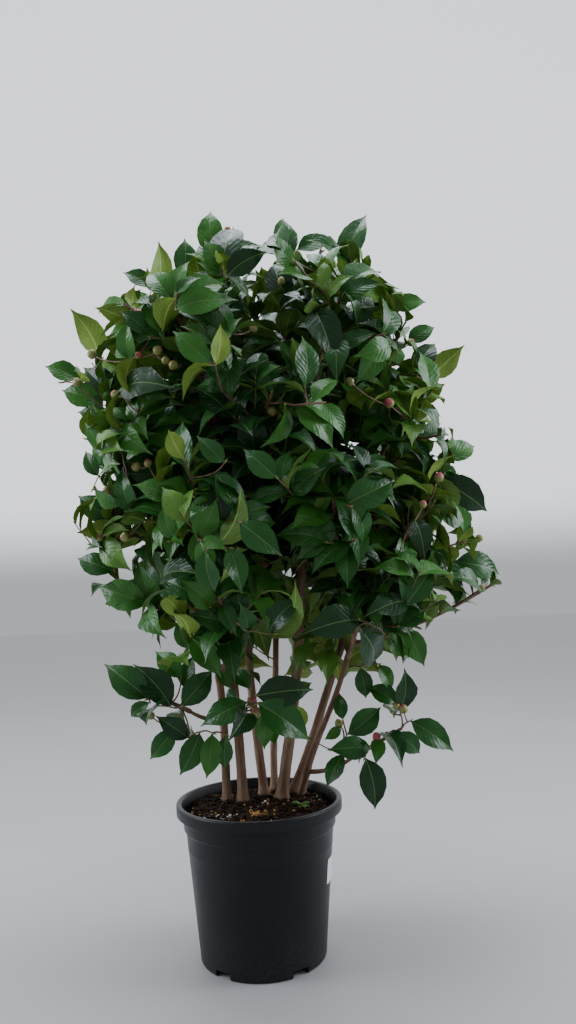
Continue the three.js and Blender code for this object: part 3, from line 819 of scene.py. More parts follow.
def grow_to(end, arriving, radii, kind, apart_from=8, only=None):
    """Grows a shoot from the nearest point of another to a given end, where it arrives in a given way."""
    global places, owners
    end = np.array(end, float)
    above = np.maximum(0, places[:, 2] - end[2] + DOWNHILL["from_above"])
    costs = np.linalg.norm(places - end, axis=1) + DOWNHILL["weight"] * above
    costs[costs < apart_from] += TOO_NEAR
    if only:
        costs[[shoots[owner]["mass"] is not only for owner in owners]] += OTHER_MASS
    nearest = int(np.argmin(costs))
    start = places[nearest]
    reach = np.linalg.norm(end - start)
    line = curve_points(start, (start + end) / 2 - arriving * 0.25 * reach, end, 5)
    length = np.linalg.norm(np.diff(line, axis=0), axis=1).sum()
    shoot = dict(line=line, length=length, radii=radii, mass=shoots[owners[nearest]]["mass"], kind=kind)
    shoots.append(shoot)
    places = np.concatenate([places, line[2:]])
    owners = np.concatenate([owners, [len(shoots) - 1] * len(line[2:])])
    return shoot


def grow_to_leaf(root, tip, tone, radii, **where):
    """Grows a shoot to the foot of a leaf, and notes the leaf that it ends in."""
    tip = np.clip(tip, BOX_LOW + INSIDE_LOW, BOX_HIGH - INSIDE_HIGH)
    grow_to(root, unit(tip - root), radii, "lead", **where).update(end_leaf=tip, tone=tone)


for root, tip, tone in leading_leaves:
    grow_to_leaf(root, tip, tone, LEADING_RADII, apart_from=18)
for mass in [mass for mass in masses if mass["spray"]]:
    for number, ends in enumerate(LOW_LEAVES[mass["name"]]):
        root, tip = (seen_at((across, down), depth) for across, down, depth in ends)
        grow_to_leaf(root, tip, LOW_TONES[number % len(LOW_TONES)], LOW_RADII, apart_from=2, only=mass)
leads = [shoot for shoot in shoots if "end_leaf" in shoot]
leading_middles = np.array([(shoot["line"][-1] + shoot["end_leaf"]) / 2 for shoot in leads])
print(len(leads), "leading shoots, the longest", round(max(shoot["length"] for shoot in leads)), "mm")

# %% Stalks of the flower buds
# spots of the picture for the buds on the crown, with a depth for those on the low sprays
CROWN_BUDS = dict(
    opening=(
        (207, 369), (219, 376), (228, 362), (270, 409), (280, 494), (149, 466), (139, 468), (139, 317),
        (137, 357), (117, 396), (338, 352), (438, 481), (422, 507), (360, 624), (391, 406),
    ),
    closed=(
        (155, 353), (163, 360), (170, 365), (352, 384), (292, 258), (281, 284), (94, 356), (79, 385),
        (105, 491), (128, 536), (233, 520), (252, 330), (174, 512),
    ),
)
SPRAY_BUDS = dict(
    opening=((250, 705, -90),),
    closed=((257, 713, -90), (404, 712, -60), (398, 708, -60), (153, 718, -60)),
)
BUD_SHARE = 0.72  # how far out on the crown a bud stands
STALK_RISE = 0.6
bud_spots = []
for shape, kind in ((1, "opening"), (0, "closed")):
    wanted = [seen_on_crown(spot, BUD_SHARE) for spot in CROWN_BUDS[kind]]
    wanted += [seen_at((across, down), depth) for across, down, depth in SPRAY_BUDS[kind]]
    for place in wanted:
        stalk = grow_to(place, UP * STALK_RISE, STALK_RADII, "stalk")
        bud_spots.append((stalk["line"][-1], heading_of(stalk["line"], 5), shape))
bud_places = np.array([place for place, heading, shape in bud_spots])
longest = max(shoot["length"] for shoot in shoots if shoot["kind"] == "stalk")
print(len(bud_spots), "flower buds on stalks, the longest", round(longest), "mm")

# %% [markdown]
# ## Leaves: where they stand
#
# Leaves stand singly round a shoot, each 137.5 degrees on from the last, and crowd near its tip. High ones
# stand up and low ones hang. Each turns its upper face to the light. A place is tried in five directions
# and three sizes, and the leaf goes where it has the most room. It is left out where it would hide the
# stems, leave the crown's outline, touch a stem, or cover a bud or a leading leaf.

# %% Sizes for the leaves
LEAF_LENGTH = (60, 88)
INTERNODE = dict(leader=17, twig=18, sprig=14, spur=15, lead=12)
LEAF_FROM = dict(leader=0.1, twig=0.2, sprig=0.34, spur=0.2, lead=0.3)
FIRST_BACK = dict(bare=1.5, leading=6)  # how far behind the shoot's end the first leaf stands
CROWDED = dict(leaves=3, share=0.42)  # the last leaves stand this much closer
SHRINKS = (1, 0.82, 0.66)
TURNS = (0, 0.9, -0.9, 2.1, -2.1)
LEAF_HANG = (-0.55, 1.5)
LEAF_FORWARD = (0.25, 0.95)
HANG_SCATTER, LIGHT_SCATTER = 0.6, 0.6
LIGHT_AHEAD, LIGHT_UP, LIGHT_OUT = 0.7, (0.15, 0.9), (-0.35, 0.8)
TIP_LEAF = dict(beyond=0.93, size=0.82)  # the youngest leaves, next to the tip, are smaller
CURL_ALLOWANCE = 1.1  # a curled leaf reaches less far than it is long
print("leaves are", LEAF_LENGTH, "mm long")

# %% Where leaves may stand
BARE_BELOW = (430, 650)  # the crown thins out downwards between these heights
BARE_SHARE = 0.62
# the notches in the crown's outline: how deep, how wide and how much of it they take
RAGGED_BY, RAGGED_SIZE, RAGGED_SHARE = 130, 64, 0.04
TOP_OF_LEAVES = (1128, 1206)  # in front, where only the leading leaves stand higher, and from the middle back
TOP_FRONT, TOP_BACK = -10, 70
# low and high corners of the places where the shrub is open: the stems show, or the outline steps in
OPEN_PLACES = (
    ((-140, -400, 440), (15, -20, 645)),
    ((-140, -400, 430), (70, 400, 560)),
    ((-400, -400, 860), (-232, 400, 1110)),
    ((300, -400, 500), (460, 400, 690)),
)
OPEN_SIZE, OPEN_FROM = 46, -0.12
SHORT_OF_OUTLINE = 5
LEADER_LEAD = 10  # a leader's own leaves may pass the outline by this much
SPACE_OVERLAP = 16  # a leaf may reach this far into the next mass's space
LEAF_ROOM, BUD_ROOM, LEADING_ROOM = 15, 21, 27
STEM_ROOM = 1.0  # from the wood to the leaf
INSIDE_BOX = 13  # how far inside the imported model's box a leaf's tip stays
ALONG_LEAF = (0.3, 0.55, 0.8, 1)  # where a leaf is tested against buds and wood


def in_open_place(point):
    """Whether a leaf here would close a place where the shrub is open."""
    inside = any((point > low).all() and (point < high).all() for low, high in OPEN_PLACES)
    return inside and noise.noise(Vector(point / OPEN_SIZE)) > OPEN_FROM


def leaf_fits(mass, shoot, leaf):
    tip = leaf["root"] + leaf["axis"] * (leaf["size"] + SHORT_OF_OUTLINE)
    middle = leaf["root"] + leaf["axis"] * leaf["size"] * 0.5
    if (tip < BOX_LOW + INSIDE_BOX).any() or (tip > BOX_HIGH - INSIDE_BOX).any():
        return False
    if tip[2] > np.interp(tip[1], (TOP_FRONT, TOP_BACK), TOP_OF_LEAVES):
        return False
    if shoot["kind"] == "leader":
        if not inside_outline(mass, tip - unit(tip - mass["heart"]) * LEADER_LEAD):
            return False
    else:
        notch = RAGGED_BY * max(0, noise.noise(Vector(tip / RAGGED_SIZE)) + RAGGED_SHARE)
        reach = tip + unit(tip - crown_at(tip[2])[0]) * notch
        if not inside_outline(mass | dict(extra=0), reach):
            return False
    if shoot["kind"] != "spur" and not in_own_space(mass, middle, -SPACE_OVERLAP):
        return False
    if in_open_place(middle):
        return False
    stretch = np.array([leaf["root"] + leaf["axis"] * leaf["size"] * share for share in ALONG_LEAF])
    for others, room in ((bud_places, BUD_ROOM), (leading_middles, LEADING_ROOM)):
        if (np.linalg.norm(stretch[:, None] - others[None], axis=2) < room).any():
            return False
    return bool((room_round(stretch, mass["leader"]) > STEM_ROOM).all())


print(len(OPEN_PLACES), "open places")

# %% Tones and poses
# the fresh and young tones serve young leaves, and also leaves at the crown's flanks and on low spurs, where
# they are a painted glow of light from behind
SPRAY_TONES = ("deep", "glossy", "fresh", "young")
TONE_STEPS = (0.38, 0.7, 0.98)
# the side weight and the last one give leaves a painted glow: a lighter tone for light shining through them
# from behind
TONE_WEIGHTS = dict(outside=0.35, side=0.38, height=0.5, chance=0.7, low_spur_painted_glow=0.5)
FACING_UP, FACING_SCATTER = 0.3, 0.5
YOUNG = SPRAY_TONES.index("young")


def spray_tone(shoot, draw):
    """Which tone a spray's leaves have: darker low down and within, lighter at the top and outside, and
    lighter at the crown's left and right flanks and on low spurs as a painted glow of light shining through
    them from behind.
    """
    tip = shoot["line"][-1]
    middle, radius = crown_at(tip[2])
    score = TONE_WEIGHTS["outside"] * np.linalg.norm((tip - middle)[:2]) / radius
    # painted light: leaves at the crown's left and right flanks get a lighter tone, a painted glow of light
    # shining through them from behind
    score += TONE_WEIGHTS["side"] * abs(tip[0] - middle[0]) / radius
    score += TONE_WEIGHTS["height"] * max(0, height_share(tip[2]))
    score += TONE_WEIGHTS["chance"] * (draw() - 0.5)
    # painted light: leaves of the low spurs get a lighter tone, a painted glow of light shining through them
    # from behind
    if shoot["kind"] == "spur" and tip[2] < SPUR["lowest"]:
        score += TONE_WEIGHTS["low_spur_painted_glow"]
    return int(np.searchsorted(TONE_STEPS, score))


def leaf_pose(mass, shoot, share, angle, draw):
    heading, out_at = shoot_frame(shoot["line"], share)
    root = along_line(shoot["line"], share)
    hang = between(LEAF_HANG, min(max(height_share(root[2]), 0), 1)) + HANG_SCATTER * (draw() - 0.5)
    axis = unit(heading * between(LEAF_FORWARD, draw()) + out_at(angle) + UP * hang)
    light = heading * LIGHT_AHEAD + UP * between(LIGHT_UP, draw())
    light = light + mass["outward"] * between(LIGHT_OUT, draw())
    light = light + np.array((draw() - 0.5, draw() - 0.5, 0)) * LIGHT_SCATTER
    light = unit(light - axis * (light @ axis))
    size = between(LEAF_LENGTH, draw()) * (TIP_LEAF["size"] if share > TIP_LEAF["beyond"] else 1)
    return dict(root=root, axis=axis, light=light, size=size)


def leading_leaf(shoot, draw):
    """The leaf that ends a leading shoot. It faces forwards, but a young one still shows its underside."""
    run = shoot["end_leaf"] - shoot["line"][-1]
    axis = unit(run)
    facing = np.array((draw() - FACING_SCATTER, 1 if shoot["tone"] == YOUNG else -1, FACING_UP))
    light = unit(facing - axis * (facing @ axis))
    size = CURL_ALLOWANCE * np.linalg.norm(run)
    shape = int(3 * draw())
    return dict(root=shoot["line"][-1], axis=axis, light=light, size=size, tone=shoot["tone"], shape=shape)


print("tones:", SPRAY_TONES)

# %% Place the leaves
leaves = []
for shoot in [shoot for shoot in shoots if shoot["kind"] != "stalk"]:
    mass, draw = shoot["mass"], shoot["mass"]["draw"]
    placed = mass.setdefault("leaf_middles", [])
    tone = spray_tone(shoot, draw)
    low = np.interp(shoot["line"][-1][2], BARE_BELOW, (1, 0))
    if shoot["kind"] in ("sprig", "spur") and draw() < BARE_SHARE * low:
        continue
    back, number, angle = FIRST_BACK["bare"], 0, 2 * math.pi * draw()
    if "end_leaf" in shoot:
        leaves.append(leading_leaf(shoot, draw))
        back, shoot["leaves"], shoot["leafy_to"] = FIRST_BACK["leading"], 1, 1
    if mass["spray"]:
        shoot["leafy_to"] = 1
        continue
    while back < (1 - LEAF_FROM[shoot["kind"]]) * shoot["length"]:
        share = 1 - back / shoot["length"]
        choices = []
        for turn in TURNS:
            leaf = leaf_pose(mass, shoot, share, angle + turn, draw)
            middle = leaf["root"] + leaf["axis"] * leaf["size"] * 0.5
            room = min((np.linalg.norm(middle - other) for other in placed), default=math.inf)
            choices.append((room, middle, leaf))
        choices.sort(key=lambda choice: -choice[0])
        for shrink, (room, middle, leaf) in ((k, choice) for k in SHRINKS for choice in choices):
            leaf = leaf | dict(size=leaf["size"] * shrink)
            if room > LEAF_ROOM and leaf_fits(mass, shoot, leaf):
                flat = draw() < height_share(leaf["root"][2])
                leaves.append(leaf | dict(tone=tone, shape=int(2 * draw()) + (0 if flat else 2)))
                placed.append(middle)
                shoot["leaves"] = shoot.get("leaves", 0) + 1
                shoot["leafy_to"] = max(shoot.get("leafy_to", 0), share)
                break
        angle += GOLDEN_ANGLE
        number += 1
        back += INTERNODE[shoot["kind"]] * (CROWDED["share"] if number < CROWDED["leaves"] else 1)
print(len(leaves), "leaves,", [sum(leaf["tone"] == k for leaf in leaves) for k in range(4)], "of each tone")

# %% [markdown]
# ## Cutting the bare ends
#
# The eye takes a bare shoot that pokes out of a full crown for a dead one. So each shoot is cut back to its
# last leaf or to the last shoot that leaves it, as a grower does with secateurs, and the barest go
# altogether.

# %% Cut the bare ends
LEAST_LEAVES = dict(sprig=2, spur=1)
FORK_ROOM = 7
CUT_SHARES = np.linspace(0.05, 1, 39)  # the places along a shoot where another may leave it
STUB, WHOLE = 0.03, 0.97  # what is left beyond the last leaf, and from where a shoot isn't worth cutting
shoots = [shoot for shoot in shoots if shoot.get("leaves", 0) >= LEAST_LEAVES.get(shoot["kind"], 0)]
forks = np.array([shoot["line"][0] for shoot in shoots])
cut_count = 0
for shoot in [shoot for shoot in shoots if shoot["kind"] != "stalk"]:
    to_forks = np.linalg.norm(along_line(shoot["line"], CUT_SHARES)[:, None] - forks[None], axis=2)
    kept = max([shoot.get("leafy_to", 0) + STUB, *CUT_SHARES[to_forks.min(1) < FORK_ROOM]])
    if kept < WHOLE:
        shoot["line"] = along_line(shoot["line"], np.linspace(0, kept, len(shoot["line"])))
        cut_count += 1
print(cut_count, "bare ends cut,", len(shoots), "shoots left")

# %% [markdown]
# ## Leaves: their finishes
#
# A camellia leaf is thick and waxy. Its cuticle is nearly a varnish, so the upper side throws sharp pale
# highlights over a dark green, while the underside is matte and much yellower. The midrib is a pale line.
# Side veins show as faint dents, five to seven millimetres apart. Four tones of upper side are dealt out by
# spray.


# %% Side veins
VEINS_PER_LEAF = 9
VEIN_SWEEP = -0.28  # the veins run towards the tip as they leave the midrib


def side_veins(tree):
    """How far a spot is from the midrib, and a ripple whose crests are the side veins."""
    blade = add_node(tree, "ShaderNodeAttribute", attribute_name="blade").outputs["Vector"]
    parts = add_node(tree, "ShaderNodeSeparateXYZ", {"Vector": blade}).outputs
    across = add_node(tree, "ShaderNodeMath", {0: parts["X"]}, operation="ABSOLUTE").outputs[0]
    swept = add_node(
        tree, "ShaderNodeMath", {0: across, 1: VEIN_SWEEP, 2: parts["Y"]}, operation="MULTIPLY_ADD"
    )
    turns = add_node(
        tree, "ShaderNodeMath", {0: swept.outputs[0], 1: 2 * math.pi * VEINS_PER_LEAF}, operation="MULTIPLY"
    )
    ripple = add_node(tree, "ShaderNodeMath", {0: turns.outputs[0]}, operation="COSINE").outputs[0]
    return across, ripple


print(VEINS_PER_LEAF, "side veins on each side of a leaf")

# %% Waxy upper side
def waxy_leaf(name, shade, light, roughness):
    """Upper side: blotches some 14 mm wide, side veins as a shallow dent, and a waxy gloss."""
    material = new_material(name)
    tree = material.node_tree
    place = add_node(tree, "ShaderNodeTexCoord").outputs["Object"]
    blotch = add_node(tree, "ShaderNodeTexNoise", {"Vector": place, "Scale": per(28), "Detail": 3.0})
    blend = add_node(
        tree,
        "ShaderNodeMix",
        {"Factor": blotch.outputs["Fac"], 6: colour(shade), 7: colour(light)},
        data_type="RGBA",
    )
    ripple = side_veins(tree)[1]
    height = add_node(
        tree,
        "ShaderNodeMath",
        {0: ripple, 1: 0.03, 2: blotch.outputs["Fac"]},
        operation="MULTIPLY_ADD",
    )
    bump = add_node(tree, "ShaderNodeBump", {"Height": height.outputs[0], "Strength": 0.8, "Distance": 0.004})
    gloss = add_node(
        tree,
        "ShaderNodeMapRange",
        {"Value": blotch.outputs["Fac"], "To Min": roughness - 0.07, "To Max": roughness + 0.1},
    )
    return close_material(
        material,
        Base_Color=blend.outputs[2],
        Roughness=gloss.outputs["Result"],
        Normal=bump.outputs["Normal"],
        IOR=1.46,
        Specular_IOR_Level=0.3,
    )


UPPER_SIDES = [
    waxy_leaf("waxy_leaf_deep", "#0d2a12", "#1a421c", 0.3),
    waxy_leaf("waxy_leaf_glossy", "#16401a", "#2a5f22", 0.3),
    waxy_leaf("waxy_leaf_fresh", "#24591e", "#3f7628", 0.32),
    waxy_leaf("waxy_leaf_young", "#3c6b26", "#638c34", 0.36),
]
print("upper sides:", [material.name for material in UPPER_SIDES])


# %% Matte underside and midrib
def mottled(name, shade, light, scale_mm, roughness, gloss=0.5):
    material = new_material(name)
    tree = material.node_tree
    place = add_node(tree, "ShaderNodeTexCoord").outputs["Object"]
    mottle = add_node(
        tree, "ShaderNodeTexNoise", {"Vector": place, "Scale": per(scale_mm), "Detail": 4.0}
    )
    blend = add_node(
        tree,
        "ShaderNodeMix",
        {"Factor": mottle.outputs["Fac"], 6: colour(shade), 7: colour(light)},
        data_type="RGBA",
    )
    bump = add_node(
        tree, "ShaderNodeBump", {"Height": mottle.outputs["Fac"], "Strength": 0.3, "Distance": 0.0004}
    )
    return close_material(
        material,
        Base_Color=blend.outputs[2],
        Roughness=roughness,
        Normal=bump.outputs["Normal"],
        Specular_IOR_Level=gloss,
    )


def veined_underside(name, shade, light, vein_colour):
    """Underside: matte, with a raised pale midrib and side veins."""
    material = new_material(name)
    tree = material.node_tree
    place = add_node(tree, "ShaderNodeTexCoord").outputs["Object"]
    mottle = add_node(tree, "ShaderNodeTexNoise", {"Vector": place, "Scale": per(16), "Detail": 4.0})
    plain = add_node(
        tree,
        "ShaderNodeMix",
        {"Factor": mottle.outputs["Fac"], 6: colour(shade), 7: colour(light)},
        data_type="RGBA",
    )
    across, ripple = side_veins(tree)
    side_vein = add_node(
        tree, "ShaderNodeMapRange", {"Value": ripple, "From Min": 0.8, "From Max": 1.0, "To Max": 0.35}
    )
    midrib = add_node(
        tree, "ShaderNodeMapRange", {"Value": across, "From Min": 0.1, "From Max": 0.04, "To Max": 0.9}
    )
    vein = add_node(
        tree,
        "ShaderNodeMath",
        {0: side_vein.outputs["Result"], 1: midrib.outputs["Result"]},
        operation="MAXIMUM",
    )
    whole = add_node(
        tree,
        "ShaderNodeMix",
        {"Factor": vein.outputs[0], 6: plain.outputs[2], 7: colour(vein_colour)},
        data_type="RGBA",
    )
    bump = add_node(tree, "ShaderNodeBump", {"Height": vein.outputs[0], "Strength": 0.5, "Distance": 0.0006})
    return close_material(
        material,
        Base_Color=whole.outputs[2],
        Roughness=0.5,
        Normal=bump.outputs["Normal"],
        IOR=1.46,
        Specular_IOR_Level=0.25,
    )


UNDERSIDES = [
    veined_underside("matte_underside_deep", "#476b2c", "#63833a", "#86a052"),
    veined_underside("matte_underside_fresh", "#5f8430", "#8aa544", "#a9bd62"),
]
MIDRIB = mottled("pale_midrib", "#3a5f2b", "#5f7f3b", 12, 0.42)
print("undersides and midrib ready")

# %% [markdown]
# ## Leaves: the blade
#
# The blade is one thin closed shell of about seventy faces. Its half widths at a few places along its length
# give the pointed oval with a drawn-out tip. The upper side has a narrow midrib strip with two panels on each
# side of it, and the underside has four panels. Four shapes differ in how they fold, curl and twist.

# %% Leaf shapes
# share of the length, and half the width there
HALF_WIDTHS = (
    (0.05, 0.03),
    (0.14, 0.13),
    (0.28, 0.228),
    (0.45, 0.266),
    (0.62, 0.24),
    (0.78, 0.142),
    (0.9, 0.036),
)
RIB_HALF = 0.007
PANEL_EDGE = 0.52  # where a side's two panels meet, as a share of its width
LEAF_THICKNESS = 0.011  # of its length
BLADE_SHAPES = (
    dict(fold=0.42, curl=0.14, twist=0.2, wave=0.03),
    dict(fold=0.32, curl=0.24, twist=-0.35, wave=0.036),
    dict(fold=0.55, curl=0.34, twist=0.4, wave=0.034),
    dict(fold=0.46, curl=0.5, twist=-0.2, wave=0.026),
)


def blade_point(along, across, lift, shape):
    """A point of a leaf of length 1 that lies along +Y, with its upper side to +Z."""
    fold = shape["fold"] * abs(across) - 0.9 * across * across
    wave = shape["wave"] * math.sin(9 * along + (2 if across > 0 else 0)) * min(1, abs(across) * 8)
    rise = fold + wave + lift + 0.1 * math.sin(math.pi * along) - shape["curl"] * along**2.2
    turn = shape["twist"] * along
    x, z = across * math.cos(turn), rise + across * math.sin(turn)
    return (x, along * (1 - 0.12 * shape["curl"] * along), z)


def leaf_mesh(name, shape):
    points, faces, parts, blades = [], [], [], []

    def corner(along, across, lift=0.0):
        points.append(blade_point(along, across, lift, shape))
        width = max(np.interp(along, *zip(*HALF_WIDTHS)), 0.01)
        blades.append((across / width, along, 0))
        return len(points) - 1

    top, under = [], []
    for along, half in HALF_WIDTHS:
        rib = min(RIB_HALF, 0.4 * half)
        row = [corner(along, x) for x in (-half, -PANEL_EDGE * half, -rib, rib, PANEL_EDGE * half, half)]
        top.append(row)
        inner = [corner(along, x, -LEAF_THICKNESS) for x in (-PANEL_EDGE * half, 0, PANEL_EDGE * half)]
        under.append([row[0], *inner, row[-1]])
    foot, tip = corner(0, 0), corner(1, 0)

    def add(part, *face):
        faces.append(face)
        parts.append(part)

    for a, b in zip(top, top[1:]):
        for i in range(5):
            add(1 if i == 2 else 0, a[i], a[i + 1], b[i + 1], b[i])
    for i in range(5):
        add(1 if i == 2 else 0, top[0][i + 1], top[0][i], foot)
        add(1 if i == 2 else 0, top[-1][i], top[-1][i + 1], tip)
    for a, b in zip(under, under[1:]):
        for i in range(4):
            add(2, a[i], b[i], b[i + 1], a[i + 1])  # split the same way as the side above it
    for i in range(4):
        add(2, under[0][i], under[0][i + 1], foot)
        add(2, under[-1][i + 1], under[-1][i], tip)

    mesh = bpy.data.meshes.new(name)
    mesh.from_pydata(points, [], faces)
    mesh.polygons.foreach_set("use_smooth", [True] * len(faces))
    mesh.update()
    side_edges = [(a[k], b[k]) for a, b in zip(top, top[1:]) for k in (0, -1)]
    side_edges += [(top[0][k], foot) for k in (0, -1)] + [(top[-1][k], tip) for k in (0, -1)]
    margin = {frozenset(pair) for pair in side_edges}
    mesh.edges.foreach_set("use_edge_sharp", [frozenset(edge.vertices) in margin for edge in mesh.edges])
    store(mesh, "part", "INT", parts, "FACE")
    store(mesh, "blade", "FLOAT_VECTOR", blades)
    return mesh


leaf_shapes = bpy.data.collections.new("leaf_shapes")
for number, shape in enumerate(BLADE_SHAPES):
    mesh = leaf_mesh(f"leaf_shape_{number}", shape)
    leaf_shapes.objects.link(bpy.data.objects.new(mesh.name, mesh))
print("a leaf has", len(mesh.polygons), "faces")

# %% [markdown]
# ## A tree that sets shapes on points
#
# One Geometry Nodes tree sets leaves, buds and scales alike. Each point of its base carries a direction, the
# way its upper side faces, a size and the number of its shape. The faces then take their material by part.


# %% Geometry Nodes: set shapes on points
def new_tree(name, sockets):
    tree = bpy.data.node_groups.new(name, "GeometryNodeTree")
    tree.interface.new_socket("Geometry", in_out="INPUT", socket_type="NodeSocketGeometry")
    for socket_name, kind in sockets:
        tree.interface.new_socket(socket_name, in_out="INPUT", socket_type=kind)
    tree.interface.new_socket("Geometry", in_out="OUTPUT", socket_type="NodeSocketGeometry")
    return tree


def run_tree(name, tree, base, values):
    """Runs a tree on a base mesh, and returns its result as a plain mesh object."""
    carrier = bpy.data.objects.new(name + "_base", base)
    scene.collection.objects.link(carrier)
    modifier = carrier.modifiers.new(tree.name, "NODES")
    modifier.node_group = tree
    for item in tree.interface.items_tree:
        if item.item_type == "SOCKET" and item.in_out == "INPUT" and item.name in values:
            modifier[item.identifier] = values[item.name]
    result = bpy.data.meshes.new_from_object(carrier.evaluated_get(bpy.context.evaluated_depsgraph_get()))
    bpy.data.objects.remove(carrier)
    result.name = name
    piece = bpy.data.objects.new(name, result)
    scene.collection.objects.link(piece)
    return piece


PART_COUNT = 3
set_shapes = new_tree(
    "set_shapes_on_points",
    [("Shapes", "NodeSocketCollection")] + [(f"Finish {k}", "NodeSocketMaterial") for k in range(PART_COUNT)],
)
given = add_node(set_shapes, "NodeGroupInput").outputs
stored = {
    key: add_node(set_shapes, "GeometryNodeInputNamedAttribute", {"Name": key}, data_type=kind).outputs[0]
    for key, kind in (
        ("axis", "FLOAT_VECTOR"),
        ("light", "FLOAT_VECTOR"),
        ("size", "FLOAT"),
        ("shape", "INT"),
        ("part", "INT"),
    )
}
turned = add_node(
    set_shapes,
    "FunctionNodeAxesToRotation",
    {0: stored["axis"], 1: stored["light"]},
    primary_axis="Y",
    secondary_axis="Z",
)
picked = add_node(
    set_shapes,
    "GeometryNodeCollectionInfo",
    {"Collection": given["Shapes"], "Separate Children": True, "Reset Children": True},
)
instances = add_node(
    set_shapes,
    "GeometryNodeInstanceOnPoints",
    {
        "Points": given["Geometry"],
        "Instance": picked.outputs[0],
        "Pick Instance": True,
        "Instance Index": stored["shape"],
        "Rotation": turned.outputs[0],
        "Scale": stored["size"],
    },
)
flow = add_node(set_shapes, "GeometryNodeRealizeInstances", {"Geometry": instances.outputs[0]}).outputs[0]
for part in range(PART_COUNT):
    chosen = add_node(
        set_shapes, "FunctionNodeCompare", {2: stored["part"], 3: part}, data_type="INT", operation="EQUAL"
    )
    flow = add_node(
        set_shapes,
        "GeometryNodeSetMaterial",
        {"Geometry": flow, "Selection": chosen.outputs[0], "Material": given[f"Finish {part}"]},
    ).outputs[0]
add_node(set_shapes, "NodeGroupOutput", {"Geometry": flow})


def set_on_points(name, spots, shapes, finishes):
    """A piece made of shapes on spots. A spot has a root, an axis, a light side, a size and a shape."""
    base = bpy.data.meshes.new(name)
    base.from_pydata([(spot["root"] * MM).tolist() for spot in spots], [], [])
    for key, kind in (("axis", "FLOAT_VECTOR"), ("light", "FLOAT_VECTOR"), ("shape", "INT")):
        store(base, key, kind, [spot[key] for spot in spots])
    store(base, "size", "FLOAT", [spot["size"] * MM for spot in spots])
    values = {f"Finish {k}": finishes[min(k, len(finishes) - 1)] for k in range(PART_COUNT)}
    return run_tree(name, set_shapes, base, values | {"Shapes": shapes})


print("set_shapes_on_points has", len(set_shapes.nodes), "nodes")

# %% Make the leaves
foliage_nodes = [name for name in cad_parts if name.startswith("foliage_")]
for tone, tone_name in enumerate(SPRAY_TONES):
    spots = [leaf for leaf in leaves if leaf["tone"] == tone]
    under = UNDERSIDES[0] if tone < 2 else UNDERSIDES[1]
    piece = set_on_points(f"leaves_{tone_name}", spots, leaf_shapes, [UPPER_SIDES[tone], MIDRIB, under])
    deliver(piece, "foliage", *foliage_nodes)

# %% [markdown]
# ## Wood: its finishes
#
# The stems have thin grey-brown bark with fine cracks along the grain. Shoots of the last two years are
# smooth and red-brown, and the newest are half green.


# %% Bark
def bark(name, dark, mid, pale, crack_mm, roughness, relief):
    """Bark: cracks that run with the grain, patches some 30 mm long, and a dry surface."""
    material = new_material(name)
    tree = material.node_tree
    grain = add_node(tree, "ShaderNodeAttribute", attribute_name="grain").outputs["Vector"]
    drawn = add_node(tree, "ShaderNodeMapping", {"Vector": grain, "Scale": (1, 1, 0.16)}).outputs[0]
    crack = add_node(
        tree,
        "ShaderNodeTexNoise",
        {"Vector": drawn, "Scale": per(crack_mm), "Detail": 6.0, "Roughness": 0.65},
    ).outputs["Fac"]
    patch = add_node(tree, "ShaderNodeTexNoise", {"Vector": drawn, "Scale": per(11), "Detail": 3.0})
    deep = add_node(tree, "ShaderNodeMapRange", {"Value": crack, "From Min": 0.3, "From Max": 0.46})
    high = add_node(
        tree, "ShaderNodeMapRange", {"Value": patch.outputs["Fac"], "From Min": 0.42, "From Max": 0.62}
    )
    skin = add_node(
        tree,
        "ShaderNodeMix",
        {"Factor": high.outputs["Result"], 6: colour(mid), 7: colour(pale)},
        data_type="RGBA",
    )
    whole = add_node(
        tree,
        "ShaderNodeMix",
        {"Factor": deep.outputs["Result"], 6: colour(dark), 7: skin.outputs[2]},
        data_type="RGBA",
    )
    bump = add_node(tree, "ShaderNodeBump", {"Height": crack, "Strength": 0.7, "Distance": relief * MM})
    return close_material(
        material, Base_Color=whole.outputs[2], Roughness=roughness, Normal=bump.outputs["Normal"]
    )


OLD_BARK = bark("grey_brown_bark", "#49342a", "#694c3a", "#8b6f58", 3.2, 0.8, 0.6)
YOUNG_BARK = bark("red_brown_young_bark", "#3a271e", "#5f4333", "#7a5a44", 4.0, 0.6, 0.3)
GREEN_SHOOT = mottled("half_green_shoot", "#5a4a2b", "#75743a", 12, 0.5)
print("bark ready")

# %% [markdown]
# ## Wood: stems and boughs
#
# These are skinned with rings of points set square to the limb. Noise that is stretched along the limb lifts
# and sinks the rings for the bark's ridges, old leaf scars ring the stem every few centimetres, and a collar
# swells where a branch leaves.

# %% Skin the stems and boughs
RING_STEP = 4.0
RIDGE_AROUND, RIDGE_ALONG = 2.6, 26.0
RIDGE_HEIGHT = 0.34
SCAR_STEP = 38.0
SCAR_HEIGHT, SCAR_WIDTH = 0.35, 1.6
LUMP_AROUND, LUMP_ALONG, LUMP_SHARE = 14, 34, 0.05
COLLAR_REACH, COLLAR_HEIGHT = 9.0, 1.5
FOOT_SUNK = 1.5  # a stem's foot goes this far into the mix
STEM_SIDES, BOUGH_SIDES = 22, 12
TIP_ROOM = 12  # a branch this near the stem's tip goes straight on, and has no collar

bark_points, bark_faces, bark_grain = [], [], []


